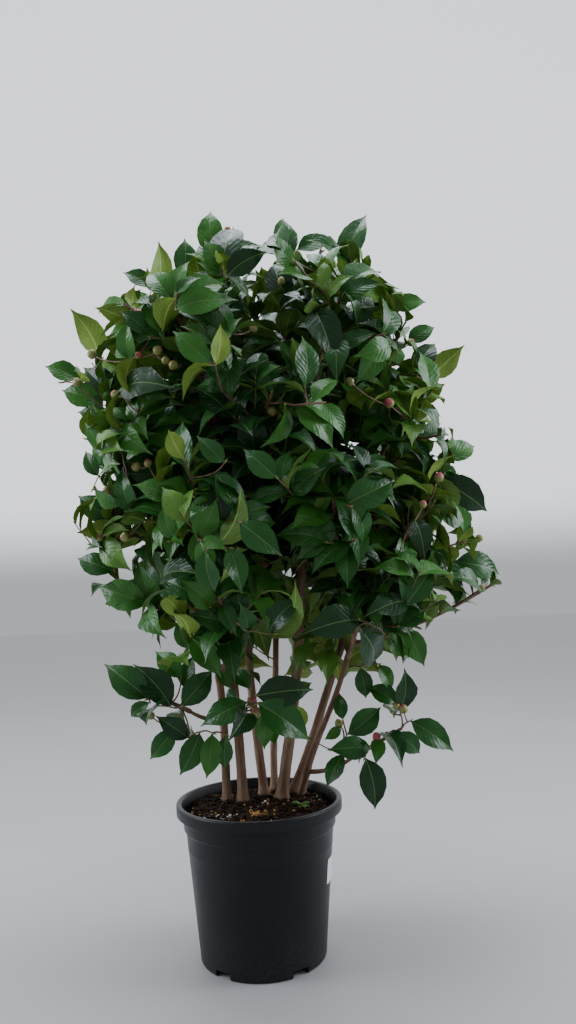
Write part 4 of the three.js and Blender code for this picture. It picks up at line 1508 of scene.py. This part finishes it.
def skin_limb(centres, radii, sides, offset, branch_roots):
    """Adds one limb to the bark mesh as a closed tube with relief."""
    first = len(bark_points)
    across = level_across(heading_of(centres, 0))
    gone = 0.0
    for ring, (centre, radius) in enumerate(zip(centres, radii)):
        heading = heading_of(centres, ring)
        across = unit(across - heading * (across @ heading))
        second = np.cross(heading, across)
        if ring:
            gone += np.linalg.norm(centre - centres[ring - 1])
        to_scar = abs((gone + 7 * offset) % SCAR_STEP - SCAR_STEP / 2)
        scar = SCAR_HEIGHT * math.exp(-((to_scar / SCAR_WIDTH) ** 2))
        for k in range(sides):
            angle = 2 * math.pi * k / sides
            out = across * math.cos(angle) + second * math.sin(angle)
            x, y = radius * math.cos(angle), radius * math.sin(angle)
            spot = Vector((x / RIDGE_AROUND + 31 * offset, y / RIDGE_AROUND, gone / RIDGE_ALONG))
            ridge = 1 - 2 * abs(noise.noise(spot)) + 0.5 * noise.noise(spot * 2.3)
            lump = noise.noise(Vector((x / LUMP_AROUND, y / LUMP_AROUND, gone / LUMP_ALONG + 17 * offset)))
            height = RIDGE_HEIGHT * min(1, radius / 6) * (ridge - 0.6) + LUMP_SHARE * radius * lump + scar
            point = centre + out * radius
            for root in branch_roots:
                near = np.linalg.norm(point - root - out * radius * 0.2)
                height += COLLAR_HEIGHT * math.exp(-((near / COLLAR_REACH) ** 2))
            bark_points.append(centre + out * (radius + height))
            bark_grain.append((x * MM, y * MM, (gone + 600 * offset) * MM))
    count = len(centres)
    for ring in range(count - 1):
        for k in range(sides):
            a, b = first + ring * sides + k, first + ring * sides + (k + 1) % sides
            bark_faces.append((a, b, b + sides, a + sides))
    bark_faces.append(tuple(first + k for k in reversed(range(sides))))
    bark_faces.append(tuple(first + (count - 1) * sides + k for k in range(sides)))


offset = 0
for limb in limbs:
    if limb["kind"] == "leader":
        continue
    roots = [other["line"][0] for other in limbs if other.get("carrier") is limb and other["kind"] != "stem"]
    if limb["kind"] == "stem":
        reach = np.linalg.norm(limb["line"][-1] - limb["line"][0])
        t = np.linspace(0, 1, round(reach / RING_STEP))
        centres = np.array([stem_point(limb["sizes"], limb["index"], share) for share in t])
        centres[0] -= UP * FOOT_SUNK
        heights = centres[:, 2] - GROUND - GAP
        radii = [stem_radius(limb["sizes"], share, height) for share, height in zip(t, heights)]
        sides = STEM_SIDES
        roots = [root for root in roots if np.linalg.norm(root - centres[-1]) > TIP_ROOM]
    else:
        count = round(np.linalg.norm(limb["line"][-1] - limb["line"][0]) / RING_STEP)
        centres = curve_points(*limb["curve"], count)
        radii = np.linspace(*BOUGH["radii"], len(centres))
        sides, roots = BOUGH_SIDES, []
    skin_limb(centres, radii, sides, offset, roots)
    offset += 1

wood = make_piece("stems_and_boughs", bark_points, bark_faces, [OLD_BARK])
store(wood.data, "grain", "FLOAT_VECTOR", bark_grain)
wood_nodes = [limb["name"] for limb in limbs if limb["kind"] != "leader"]
deliver(wood, "bark", *wood_nodes)

# %% [markdown]
# ## Wood: shoots
#
# A second Geometry Nodes tree sweeps a small circle along every shoot's line, as thick as the line says.

# %% Geometry Nodes: sweep shoots
sweep = new_tree("sweep_shoots", [("Sides", "NodeSocketInt"), ("Finish", "NodeSocketMaterial")])
given = add_node(sweep, "NodeGroupInput").outputs
strands = add_node(sweep, "GeometryNodeMeshToCurve", {"Mesh": given["Geometry"]}).outputs[0]
thickness = add_node(sweep, "GeometryNodeInputNamedAttribute", {"Name": "thickness"}, data_type="FLOAT")
ring = add_node(sweep, "GeometryNodeCurvePrimitiveCircle", {"Resolution": given["Sides"], "Radius": 1.0})
tubes = add_node(
    sweep,
    "GeometryNodeCurveToMesh",
    {"Curve": strands, "Profile Curve": ring.outputs[0], "Scale": thickness.outputs[0], "Fill Caps": True},
)
smooth = add_node(sweep, "GeometryNodeSetShadeSmooth", {"Geometry": tubes.outputs[0]})
real = add_node(sweep, "GeometryNodeRealizeInstances", {"Geometry": smooth.outputs[0]})
dressed = add_node(
    sweep, "GeometryNodeSetMaterial", {"Geometry": real.outputs[0], "Material": given["Finish"]}
)
add_node(sweep, "NodeGroupOutput", {"Geometry": dressed.outputs[0]})


def sweep_shoots(name, chosen, sides, finish):
    points, edges, thick = [], [], []
    for shoot in chosen:
        first = len(points)
        line = shoot["line"]
        points += (line * MM).tolist()
        thick += (np.linspace(*shoot["radii"], len(line)) * MM).tolist()
        edges += [(first + k, first + k + 1) for k in range(len(line) - 1)]
    base = bpy.data.meshes.new(name)
    base.from_pydata(points, edges, [])
    store(base, "thickness", "FLOAT", thick)
    piece = run_tree(name, sweep, base, {"Sides": sides, "Finish": finish})
    store(piece.data, "grain", "FLOAT_VECTOR", np.array([vertex.co for vertex in piece.data.vertices]))
    return piece


red_shoots = [shoot for shoot in shoots if shoot["kind"] != "sprig"]
green_shoots = [shoot for shoot in shoots if shoot["kind"] == "sprig"]
deliver(sweep_shoots("leaders_and_twigs", red_shoots, 8, YOUNG_BARK), "bark", *foliage_nodes)
deliver(sweep_shoots("sprigs", green_shoots, 5, GREEN_SHOOT), "bark", *foliage_nodes)

# %% [markdown]
# ## Buds
#
# In autumn a camellia carries round flower buds at its shoot tips, wrapped in green scales, and on the
# ripest the petals show as a rose-red tip. The leaf buds are slender spikes. Each is a small turned shape
# whose rings step in and out as overlapping scales do.

# %% Bud finishes and shapes
# dry scales look dull and yellow-green, petals soft and rose, and leaf buds a paler green
BUD_SCALES = mottled("bud_scales", "#66703a", "#a0995a", 5, 0.45)
PETALS = mottled("rose_petals", "#8a2a35", "#bd5d62", 4, 0.5)
LEAF_BUD = mottled("leaf_bud_scales", "#6d6a38", "#9a9552", 5, 0.5)
BUD_SIDES = 8
# share of the length, and radius there
FLOWER_BUD_RINGS = (
    (0.02, 0.16),
    (0.14, 0.36),
    (0.3, 0.46),
    (0.5, 0.5),
    (0.54, 0.47),
    (0.74, 0.38),
    (0.9, 0.2),
)
LEAF_BUD_RINGS = ((0.02, 0.1), (0.3, 0.17), (0.6, 0.12), (0.85, 0.05))


def bud_mesh(name, rings, petals_from, lobes):
    points = [(0, 0, 0)]
    faces, parts = [], []
    for number, (along, radius) in enumerate(rings):
        for k in range(BUD_SIDES):
            angle = 2 * math.pi * (k + 0.5 * (number % 2)) / BUD_SIDES
            swell = radius * (1 + lobes * math.cos(3 * angle + 2 * number))
            points.append((swell * math.cos(angle), along, swell * math.sin(angle)))
    points.append((0, 1, 0))
    last = len(points) - 1
    for k in range(BUD_SIDES):
        following = (k + 1) % BUD_SIDES
        faces.append((0, 1 + k, 1 + following))
        parts.append(0)
        for number in range(len(rings) - 1):
            a, b = 1 + number * BUD_SIDES + k, 1 + number * BUD_SIDES + following
            faces.append((a, a + BUD_SIDES, b + BUD_SIDES, b))
            parts.append(1 if rings[number][0] >= petals_from else 0)
        end = 1 + (len(rings) - 1) * BUD_SIDES
        faces.append((end + k, last, end + following))
        parts.append(1 if petals_from < 1 else 0)
    mesh = bpy.data.meshes.new(name)
    mesh.from_pydata(points, [], faces)
    mesh.polygons.foreach_set("use_smooth", [True] * len(faces))
    mesh.update()
    store(mesh, "part", "INT", parts, "FACE")
    return mesh


flower_buds = bpy.data.collections.new("flower_bud_shapes")
for name, petals_from in (("bud_a_closed", 0.9), ("bud_b_opening", 0.54)):
    flower_buds.objects.link(bpy.data.objects.new(name, bud_mesh(name, FLOWER_BUD_RINGS, petals_from, 0.06)))
leaf_buds = bpy.data.collections.new("leaf_bud_shapes")
leaf_buds.objects.link(bpy.data.objects.new("leaf_bud", bud_mesh("leaf_bud", LEAF_BUD_RINGS, 2, 0.05)))
print("buds have", len(FLOWER_BUD_RINGS) * BUD_SIDES, "faces and more")

# %% Set the buds
BUD_LENGTH = (12, 16)
BACK_SHARE, BACK_FROM = 0.16, -60  # share of the shoots behind this depth that end in a flower bud
OPENING_SHARE = 0.35
LEAF_BUD_LENGTH = (6, 10)
BUD_SUNK, LEAF_BUD_SUNK = 1.5, 0.5
BUD_CLEARANCE = 16  # a bud needs this much room inside the box of the solids
draw = seeded(SEED)
tips = [shoot for shoot in shoots if shoot["kind"] != "stalk"]
flower_spots, leaf_bud_spots = [], []
for place, heading, shape in bud_spots:
    axis = unit(heading + UP * 0.3)
    spot = dict(root=place - axis * BUD_SUNK, axis=axis, light=level_across(axis), shape=shape)
    flower_spots.append(spot | dict(size=between(BUD_LENGTH, draw())))
for tip in tips:
    root = tip["line"][-1]
    axis = unit(heading_of(tip["line"], len(tip["line"]) - 1) + UP * 0.2)
    spot = dict(root=root - axis * LEAF_BUD_SUNK, axis=axis, light=level_across(axis))
    end = root + BUD_CLEARANCE * axis
    if (end < BOX_LOW).any() or (end > BOX_HIGH).any():
        continue
    if root[1] > BACK_FROM and draw() < BACK_SHARE:
        flower_spots.append(spot | dict(size=between(BUD_LENGTH, draw()), shape=int(draw() < OPENING_SHARE)))
    else:
        leaf_bud_spots.append(spot | dict(size=between(LEAF_BUD_LENGTH, draw()), shape=0))
deliver(set_on_points("flower_buds", flower_spots, flower_buds, [BUD_SCALES, PETALS]), "foliage")
deliver(set_on_points("leaf_buds", leaf_bud_spots, leaf_buds, [LEAF_BUD]), "foliage")
print(len(flower_spots), "flower buds,", len(leaf_bud_spots), "leaf buds")

# %% [markdown]
# ## The pot
#
# A nursery pot is injection moulded from recycled black polypropylene: a slightly tapered wall, a step under
# the neck, a thin witness ring, and a rolled rim. It is turned from one closed profile. Five drain slots are
# cut through the foot afterwards, so that the turned part stays a plain list of radii and heights.

# %% Turn the pot
POT_FOOT, POT_STEP, POT_STEP_HEIGHT = 100.5, 119.5, 200.0
POT_WALL, POT_FLOOR = 2.5, 14.0


def pot_radius(height):
    """The pot's outer radius below its step."""
    return POT_FOOT + (POT_STEP - POT_FOOT) * height / POT_STEP_HEIGHT


OUTSIDE = [(98.6, 0), (100, 0.5), (100.8, 2)]
OUTSIDE += [(pot_radius(z), z) for z in (14, 30, 60, 90, 120, 150, 171.4)]
OUTSIDE += [(pot_radius(172) + 0.4, 172.2), (pot_radius(173.4) + 0.4, 173.6), (pot_radius(175), 175)]
OUTSIDE += [(pot_radius(188), 188), (119.3, 198), (119.8, 199.6), (122.4, 202), (123, 203.6), (123.5, 213)]
OUTSIDE += [(123.9, 222.6), (124.9, 223.8), (132.6, 224), (134, 224.8), (134.5, 226.4), (134.5, 237.6)]
OUTSIDE += [(134.3, 240), (133.6, 241.3), (132.3, 242), (128.2, 241.8), (126.6, 240.8)]
OUTSIDE += [(125.4, 238), (123.4, 231)]
INSIDE = [(121.5, 225), (120.5, 204), (119.8, 202), (117.2, 199), (pot_radius(100) - POT_WALL, 100)]
INSIDE += [(pot_radius(POT_FLOOR) - POT_WALL, POT_FLOOR)]


def turn(name, profile, segments, materials):
    """A closed turned piece. The profile starts and ends on the axis."""
    points = [(0, 0, profile[0][1])]
    for radius, height in profile[1:-1]:
        for k in range(segments):
            angle = 2 * math.pi * k / segments
            points.append((radius * math.cos(angle), radius * math.sin(angle), height))
    points.append((0, 0, profile[-1][1]))
    last, rings, faces = len(points) - 1, len(profile) - 2, []
    for k in range(segments):
        following = (k + 1) % segments
        faces.append((0, 1 + following, 1 + k))
        for ring in range(rings - 1):
            a = 1 + ring * segments
            faces.append((a + k, a + following, a + segments + following, a + segments + k))
        a = 1 + (rings - 1) * segments
        faces.append((a + k, a + following, last))
    return make_piece(name, points, faces, materials)


turned_pot = turn("turned_pot", [(0, 0), *OUTSIDE, *INSIDE, (0, POT_FLOOR)], 160, [])
print("the turned pot has", len(turned_pot.data.polygons), "faces")

# %% Cut the drain slots
SLOT_COUNT, SLOT_WIDTH, SLOT_HEIGHT, SLOT_DEPTH, FIRST_SLOT = 5, 28.0, 10.0, 13.0, -57.0
SLOT_CORNER = 3.0
slot_outline = [(-SLOT_WIDTH / 2, -4)]
for sign in (-1, 1):
    turns = (0, 0.25, 0.5, 0.75, 1) if sign < 0 else (1, 0.75, 0.5, 0.25, 0)
    for t in turns:
        x = SLOT_WIDTH / 2 - SLOT_CORNER + SLOT_CORNER * math.cos(t * math.pi / 2)
        slot_outline.append((sign * x, SLOT_HEIGHT - SLOT_CORNER + SLOT_CORNER * math.sin(t * math.pi / 2)))
slot_outline.append((SLOT_WIDTH / 2, -4))
cutter_points, cutter_faces = [], []
for number in range(SLOT_COUNT):
    azimuth = math.radians(FIRST_SLOT + number * 360 / SLOT_COUNT)
    out = np.array((math.cos(azimuth), math.sin(azimuth), 0))
    side = np.array((-out[1], out[0], 0))
    first, size = len(cutter_points), len(slot_outline)
    for radius in (POT_FOOT - SLOT_DEPTH, POT_FOOT + SLOT_DEPTH):
        cutter_points += [out * radius + side * x + UP * z for x, z in slot_outline]
    cutter_faces.append(tuple(first + k for k in range(size)))
    cutter_faces.append(tuple(first + size + k for k in reversed(range(size))))
    for k in range(size):
        following = (k + 1) % size
        cutter_faces.append((first + following, first + k, first + size + k, first + size + following))
cutter = make_piece("slot_cutter", cutter_points, cutter_faces, [])
check = bmesh.new()
check.from_mesh(cutter.data)
bmesh.ops.recalc_face_normals(check, faces=check.faces)
check.to_mesh(cutter.data)
check.free()
cut = turned_pot.modifiers.new("slots", "BOOLEAN")
cut.operation, cut.solver, cut.object = "DIFFERENCE", "EXACT", cutter
bpy.context.view_layer.update()
pot_mesh = bpy.data.meshes.new_from_object(turned_pot.evaluated_get(bpy.context.evaluated_depsgraph_get()))
for spare in (turned_pot, cutter):
    bpy.data.objects.remove(spare)
pot_mesh.polygons.foreach_set("use_smooth", [True] * len(pot_mesh.polygons))
pot_mesh.set_sharp_from_angle(angle=math.radians(42))
pot_piece = bpy.data.objects.new("nursery_pot", pot_mesh)
scene.collection.objects.link(pot_piece)
print("with its slots it has", len(pot_mesh.polygons), "faces")

# %% [markdown]
# ## The pot's finish
#
# Recycled polypropylene comes out of its steel mould satin black with a faint blue cast. Shelf life adds the
# rest: a grey film of dried splashes and dust that gathers low down, and short scuffs. The rim is lighter
# grey.

# %% Moulded polypropylene
polypropylene = new_material("moulded_polypropylene")
tree = polypropylene.node_tree
place = add_node(tree, "ShaderNodeTexCoord").outputs["Object"]
place_parts = add_node(tree, "ShaderNodeSeparateXYZ", {"Vector": place}).outputs
film = add_node(
    tree, "ShaderNodeTexNoise", {"Vector": place, "Scale": per(60), "Detail": 6.0, "Roughness": 0.6}
)
drips = add_node(tree, "ShaderNodeMapping", {"Vector": place, "Scale": (1, 1, 0.12)}).outputs[0]
streak = add_node(tree, "ShaderNodeTexNoise", {"Vector": drips, "Scale": per(18), "Detail": 4.0})
speck = add_node(tree, "ShaderNodeTexNoise", {"Vector": place, "Scale": per(4), "Detail": 2.0})
low_down = add_node(
    tree,
    "ShaderNodeMapRange",
    {"Value": place_parts["Z"], "From Min": 0.09, "From Max": 0.0, "To Min": 0.0, "To Max": 0.4},
)
# the rim is made a lighter grey
on_rim = add_node(
    tree,
    "ShaderNodeMapRange",
    {"Value": place_parts["Z"], "From Min": 0.222, "From Max": 0.242, "To Min": 0.0, "To Max": 0.16},
)
filmy = add_node(
    tree,
    "ShaderNodeMath",
    {0: film.outputs["Fac"], 1: streak.outputs["Fac"]},
    operation="MULTIPLY",
)
film_share = add_node(
    tree, "ShaderNodeMapRange", {"Value": filmy.outputs[0], "From Min": 0.2, "From Max": 0.45}
)
ends = add_node(
    tree,
    "ShaderNodeMath",
    {0: low_down.outputs["Result"], 1: on_rim.outputs["Result"]},
    operation="ADD",
)
dust = add_node(
    tree,
    "ShaderNodeMath",
    {0: film_share.outputs["Result"], 1: 0.2, 2: ends.outputs[0]},
    operation="MULTIPLY_ADD",
)
grains = add_node(
    tree, "ShaderNodeMapRange", {"Value": speck.outputs["Fac"], "From Min": 0.3, "From Max": 0.7}
)
dusty = add_node(
    tree,
    "ShaderNodeMath",
    {0: dust.outputs[0], 1: grains.outputs["Result"]},
    operation="MULTIPLY",
)
pot_colour = add_node(
    tree,
    "ShaderNodeMix",
    {"Factor": dusty.outputs[0], 6: colour("#05080d"), 7: colour("#31322f")},
    data_type="RGBA",
)
pot_roughness = add_node(
    tree, "ShaderNodeMapRange", {"Value": dust.outputs[0], "To Min": 0.34, "To Max": 0.72}
)
# the steel mould's grain is finer than a millimetre, and is drawn coarser so that it shows
mould_grain = add_node(tree, "ShaderNodeTexNoise", {"Vector": place, "Scale": per(1.6), "Detail": 2.0})
mould_bump = add_node(
    tree, "ShaderNodeBump", {"Height": mould_grain.outputs["Fac"], "Strength": 0.16, "Distance": 0.0004}
)
close_material(
    polypropylene,
    Base_Color=pot_colour.outputs[2],
    Roughness=pot_roughness.outputs["Result"],
    Normal=mould_bump.outputs["Normal"],
    IOR=1.49,
    Specular_IOR_Level=0.3,
)
pot_piece.data.materials.clear()
pot_piece.data.materials.append(polypropylene)
deliver(pot_piece, "pot_plastic", "pot")

# %% [markdown]
# ## The blank label
#
# A paper sticker lies on the curve of the wall, so it is a thin shell that bends with the pot. Its corners
# are die cut round. It carries nothing.

# %% Label
LABEL = dict(width=26.0, height=38.0, thickness=0.5, azimuth=-19.0, middle=136.0, corner=3.0)
LABEL_ROWS, LABEL_COLUMNS = 24, 10
label_points, label_faces = [], []
for off in (0.3, 0.3 + LABEL["thickness"]):
    for row in range(LABEL_ROWS + 1):
        v = -math.cos(math.pi * row / LABEL_ROWS) * LABEL["height"] / 2
        over = max(0, abs(v) - LABEL["height"] / 2 + LABEL["corner"])
        half = LABEL["width"] / 2 - LABEL["corner"] + math.sqrt(max(0.02, LABEL["corner"] ** 2 - over**2))
        for column in range(LABEL_COLUMNS + 1):
            height = LABEL["middle"] + v
            radius = pot_radius(height) + off
            angle = math.radians(LABEL["azimuth"]) + half * (2 * column / LABEL_COLUMNS - 1) / radius
            label_points.append((radius * math.cos(angle), radius * math.sin(angle), height))
stride = LABEL_COLUMNS + 1
sheet = stride * (LABEL_ROWS + 1)
for row in range(LABEL_ROWS):
    for column in range(LABEL_COLUMNS):
        a = row * stride + column
        label_faces.append((a, a + stride, a + stride + 1, a + 1))
        a += sheet
        label_faces.append((a, a + 1, a + stride + 1, a + stride))
edge = list(range(stride))
edge += [row * stride + LABEL_COLUMNS for row in range(1, LABEL_ROWS + 1)]
edge += [LABEL_ROWS * stride + column for column in reversed(range(LABEL_COLUMNS))]
edge += [row * stride for row in reversed(range(1, LABEL_ROWS))]
for a, b in zip(edge, edge[1:] + edge[:1]):
    label_faces.append((a, b, b + sheet, a + sheet))
# coated paper is smooth, nearly white and only a little glossy
label_paper = mottled("coated_paper", "#d9dade", "#f0f0f3", 9, 0.4)
label_piece = make_piece("blank_label", label_points, label_faces, [label_paper])
label_piece.data.set_sharp_from_angle(angle=math.radians(50))
deliver(label_piece, "blank_label", "label")

# %% [markdown]
# ## The potting mix
#
# The mix is composted bark with a few clay granules and white perlite. Its body is a turned plug with an
# uneven top, and loose chips lie on it, set by the same tree as the leaves.

# %% Body of the mix
LEVEL_TO = 104.0  # the mix is level this far out, and then dips to the wall
EDGE_DIP = 5.0
MIX_RADIUS = POT_STEP - POT_WALL - 1.2
SETTLED = 0.8
HEAP_HEIGHT, HEAP_WIDTH = 2.2, 22
CRUMB_HEIGHT, CRUMB_WIDTH = 1.1, 7


def mix_height(x, y):
    radius = math.hypot(x, y)
    dip = EDGE_DIP * max(0, radius - LEVEL_TO) / (MIX_RADIUS - LEVEL_TO)
    spot = Vector((x, y, 0))
    heap = GROUND - dip - SETTLED + HEAP_HEIGHT * noise.noise(spot / HEAP_WIDTH)
    return heap + CRUMB_HEIGHT * noise.noise(spot / CRUMB_WIDTH)


MIX_RINGS = [(MIX_RADIUS, z) for z in (POT_STEP_HEIGHT - 2, GROUND - EDGE_DIP)]
mix_profile = [(0, POT_FLOOR + GAP), (98.6, POT_FLOOR + GAP), *MIX_RINGS]
mix_profile += [(radius, GROUND) for radius in np.linspace(MIX_RADIUS - 1.5, 2, 46)] + [(0, GROUND)]


def compost(name, dark, light):
    """Composted bark: crumbs 3 to 8 mm across, dry and dark, in colours that also hold painted shade from the
    crown.
    """
    material = new_material(name)
    tree = material.node_tree
    place = add_node(tree, "ShaderNodeTexCoord").outputs["Object"]
    crumb = add_node(tree, "ShaderNodeTexVoronoi", {"Vector": place, "Scale": per(6)})
    fine = add_node(
        tree, "ShaderNodeTexNoise", {"Vector": place, "Scale": per(3), "Detail": 5.0, "Roughness": 0.7}
    )
    blend = add_node(
        tree,
        "ShaderNodeMix",
        {"Factor": fine.outputs["Fac"], 6: colour(dark), 7: colour(light)},
        data_type="RGBA",
    )
    bump = add_node(
        tree, "ShaderNodeBump", {"Height": crumb.outputs["Distance"], "Strength": 0.8, "Distance": 0.0016}
    )
    return close_material(
        material,
        Base_Color=blend.outputs[2],
        Roughness=0.95,
        Normal=bump.outputs["Normal"],
        Specular_IOR_Level=0.08,
    )


# painted shade: these colours are darker than the compost's own, for the shade that the crown casts on the
# mix
COMPOST_WITH_PAINTED_SHADE = compost("composted_bark", "#0c0805", "#241912")
mix = turn("potting_mix_body", mix_profile, 120, [COMPOST_WITH_PAINTED_SHADE])
for vertex in mix.data.vertices:
    x, y, z = vertex.co / MM
    if z > GROUND - EDGE_DIP - 0.1:
        vertex.co.z = mix_height(x, y) * MM
deliver(mix, "potting_mix", "potting_mix")

# %% Loose chips, granules and perlite
CHIP_RADIUS = 112.0
CHIP_SHAPES = 3
# painted shade: the bark chips' colours are darker than their own, for the shade that the crown casts on the
# mix
CHIPS = (
    ("bark_chips", "potting_mix", ("#100a06", "#372618"), 900, (5, 15), 0),
    ("clay_granules", "potting_mix", ("#8a5a30", "#c49a62"), 190, (3, 6.5), 1),
    ("perlite", "potting_mix", ("#a9a294", "#dbd6ca"), 46, (2.5, 5.5), 1),
)  # name, slot, colours, how many, size, shape
HEAPS = dict(clay_granules=(6, -48, 40), perlite=(-66, -50, 44))  # where half of them lie: middle and width


def crumb_mesh(name, sides, flat, draw):
    """A rough closed lump of size 1: two rings and two poles, all a little off their places."""
    points = [(0, 0, -0.5 * flat)]
    for level, swell in ((-0.3, 0.42), (0.3, 0.4)):
        for k in range(sides):
            angle = 2 * math.pi * (k + 0.4 * (draw() - 0.5)) / sides
            reach = swell * between((0.75, 1.15), draw())
            height = flat * (level + 0.2 * draw())
            points.append((0.55 * reach * math.cos(angle), reach * math.sin(angle), height))
    points.append((0, 0, 0.5 * flat))
    faces = []
    for k in range(sides):
        a, b = 1 + k, 1 + (k + 1) % sides
        faces += [(0, b, a), (a, b, b + sides, a + sides), (a + sides, b + sides, len(points) - 1)]
    mesh = bpy.data.meshes.new(name)
    mesh.from_pydata(points, [], faces)
    store(mesh, "part", "INT", [0] * len(faces), "FACE")
    return mesh


draw = seeded(SEED + 7)
chip_shapes = bpy.data.collections.new("chip_shapes")
for number in range(CHIP_SHAPES):
    chip = crumb_mesh(f"chip_{number}", 6, 0.32, draw)
    chip_shapes.objects.link(bpy.data.objects.new(chip.name, chip))
granule_shapes = bpy.data.collections.new("granule_shapes")
granule = crumb_mesh("granule", 7, 0.9, draw)
granule_shapes.objects.link(bpy.data.objects.new(granule.name, granule))

for chip_name, chip_slot, (dark, light), count, sizes, rounded in CHIPS:
    spots = []
    for number in range(count):
        radius, angle = CHIP_RADIUS * math.sqrt(draw()), 2 * math.pi * draw()
        x, y = radius * math.cos(angle), radius * math.sin(angle)
        if chip_name in HEAPS and number % 2:
            middle_x, middle_y, width = HEAPS[chip_name]
            x, y = middle_x + width * (draw() - 0.5), middle_y + 0.8 * width * (draw() - 0.5)
        size = between(sizes, draw() ** 1.6)
        turned_by = 2 * math.pi * draw()
        axis = unit(np.array((math.cos(turned_by), math.sin(turned_by), 0.5 * (draw() - 0.5))))
        light_side = unit(np.array((draw() - 0.5, draw() - 0.5, 1.2)))
        light_side = unit(light_side - axis * (light_side @ axis))
        root = np.array((x, y, mix_height(x, y) + 0.12 * size))
        shape = 0 if rounded else number % CHIP_SHAPES
        spots.append(dict(root=root, axis=axis, light=light_side, size=size, shape=shape))
    # bark chips, fired clay and perlite are all dry and dull: only their colours differ
    finish = mottled(chip_name + "_finish", dark, light, 5, 0.9, gloss=0.12)
    shapes = granule_shapes if rounded else chip_shapes
    deliver(set_on_points(chip_name, spots, shapes, [finish]), chip_slot)

# %% A small weed in the mix
WEED = dict(x=66.0, y=-14.0, leaves=16, size=(10, 20))
spots = []
for number in range(WEED["leaves"]):
    angle = number * GOLDEN_ANGLE
    axis = unit(np.array((math.cos(angle), math.sin(angle), between((0.2, 0.8), draw()))))
    light_side = unit(UP - axis * axis[2])
    root = np.array((WEED["x"], WEED["y"], mix_height(WEED["x"], WEED["y"]) - 0.5))
    size = between(WEED["size"], draw())
    spots.append(dict(root=root, axis=axis, light=light_side, size=size, shape=number % len(BLADE_SHAPES)))
weed = set_on_points("seedling_weed", spots, leaf_shapes, [UPPER_SIDES[3], MIDRIB, UNDERSIDES[1]])
deliver(weed, "foliage")

# %% [markdown]
# ## Floor and light
#
# The plant stands on a plain pale floor in an even pale room. One large soft light hangs above and a little
# behind, so the top is bright and the front stays deep, and two beside the plant light its flanks.

# %% Floor
# floor paint is even and matte, so that it shows the plant's soft shadow and no more
FLOOR_HALF, FLOOR_BELOW = 9000, 0.6  # it lies a little below the pot, so that the two share no surface
floor_paint = mottled("painted_floor", "#9c9d9d", "#a4a4a4", 600, 0.6)
corners = [(x * FLOOR_HALF, y * FLOOR_HALF, -FLOOR_BELOW) for x, y in ((-1, -1), (1, -1), (1, 1), (-1, 1))]
floor = make_piece("floor", corners, [(0, 1, 2, 3)], [floor_paint])
print("floor laid")

# %% Light
WALL_STRENGTH, FLOOR_STRENGTH = 1.24, 0.66
world = bpy.data.worlds.new("pale_room")
world.use_nodes = True
world.node_tree.nodes.clear()
tree = world.node_tree
towards = add_node(tree, "ShaderNodeTexCoord").outputs["Generated"]
sides = add_node(tree, "ShaderNodeSeparateXYZ", {"Vector": towards}).outputs
wall_side = add_node(
    tree,
    "ShaderNodeMapRange",
    {"Value": sides["Y"], "From Min": -0.6, "From Max": 0.8, "To Min": 0.5, "To Max": 1.5},
)
wall = add_node(
    tree,
    "ShaderNodeMath",
    {0: wall_side.outputs["Result"], 1: WALL_STRENGTH},
    operation="MULTIPLY",
)
# near the floor the wall fades to the floor's own shade, so that no hard line shows
strength = add_node(
    tree,
    "ShaderNodeMapRange",
    {"Value": sides["Z"], "From Max": 0.1, "To Min": FLOOR_STRENGTH, "To Max": wall.outputs[0]},
    interpolation_type="SMOOTHSTEP",
)
room = add_node(
    tree, "ShaderNodeBackground", {"Color": colour("#dfe1e6"), "Strength": strength.outputs["Result"]}
)
add_node(tree, "ShaderNodeOutputWorld", {"Surface": room.outputs[0]})
scene.world = world
LIGHTS = (
    ("overhead", (0, 0.2, 2.9), (0, 0, 0.7), 1.8, 58),
    ("left_side", (-2.3, -0.15, 1.5), (0, 0, 0.75), 1.5, 50),
    ("right_side", (2.3, -0.15, 1.5), (0, 0, 0.75), 1.5, 50),
)  # name, place, aim, size, power
for light_name, spot, aim, size, power in LIGHTS:
    lamp_data = bpy.data.lights.new(light_name, "AREA")
    lamp_data.shape, lamp_data.size, lamp_data.energy = "DISK", size, power
    lamp_data.color = colour("#eef4ff")[:3]
    lamp = bpy.data.objects.new(light_name, lamp_data)
    scene.collection.objects.link(lamp)
    lamp.location = spot
    lamp.rotation_mode = "QUATERNION"
    lamp.rotation_quaternion = (Vector(aim) - Vector(spot)).to_track_quat("-Z", "Y")
print(len(LIGHTS), "lights")
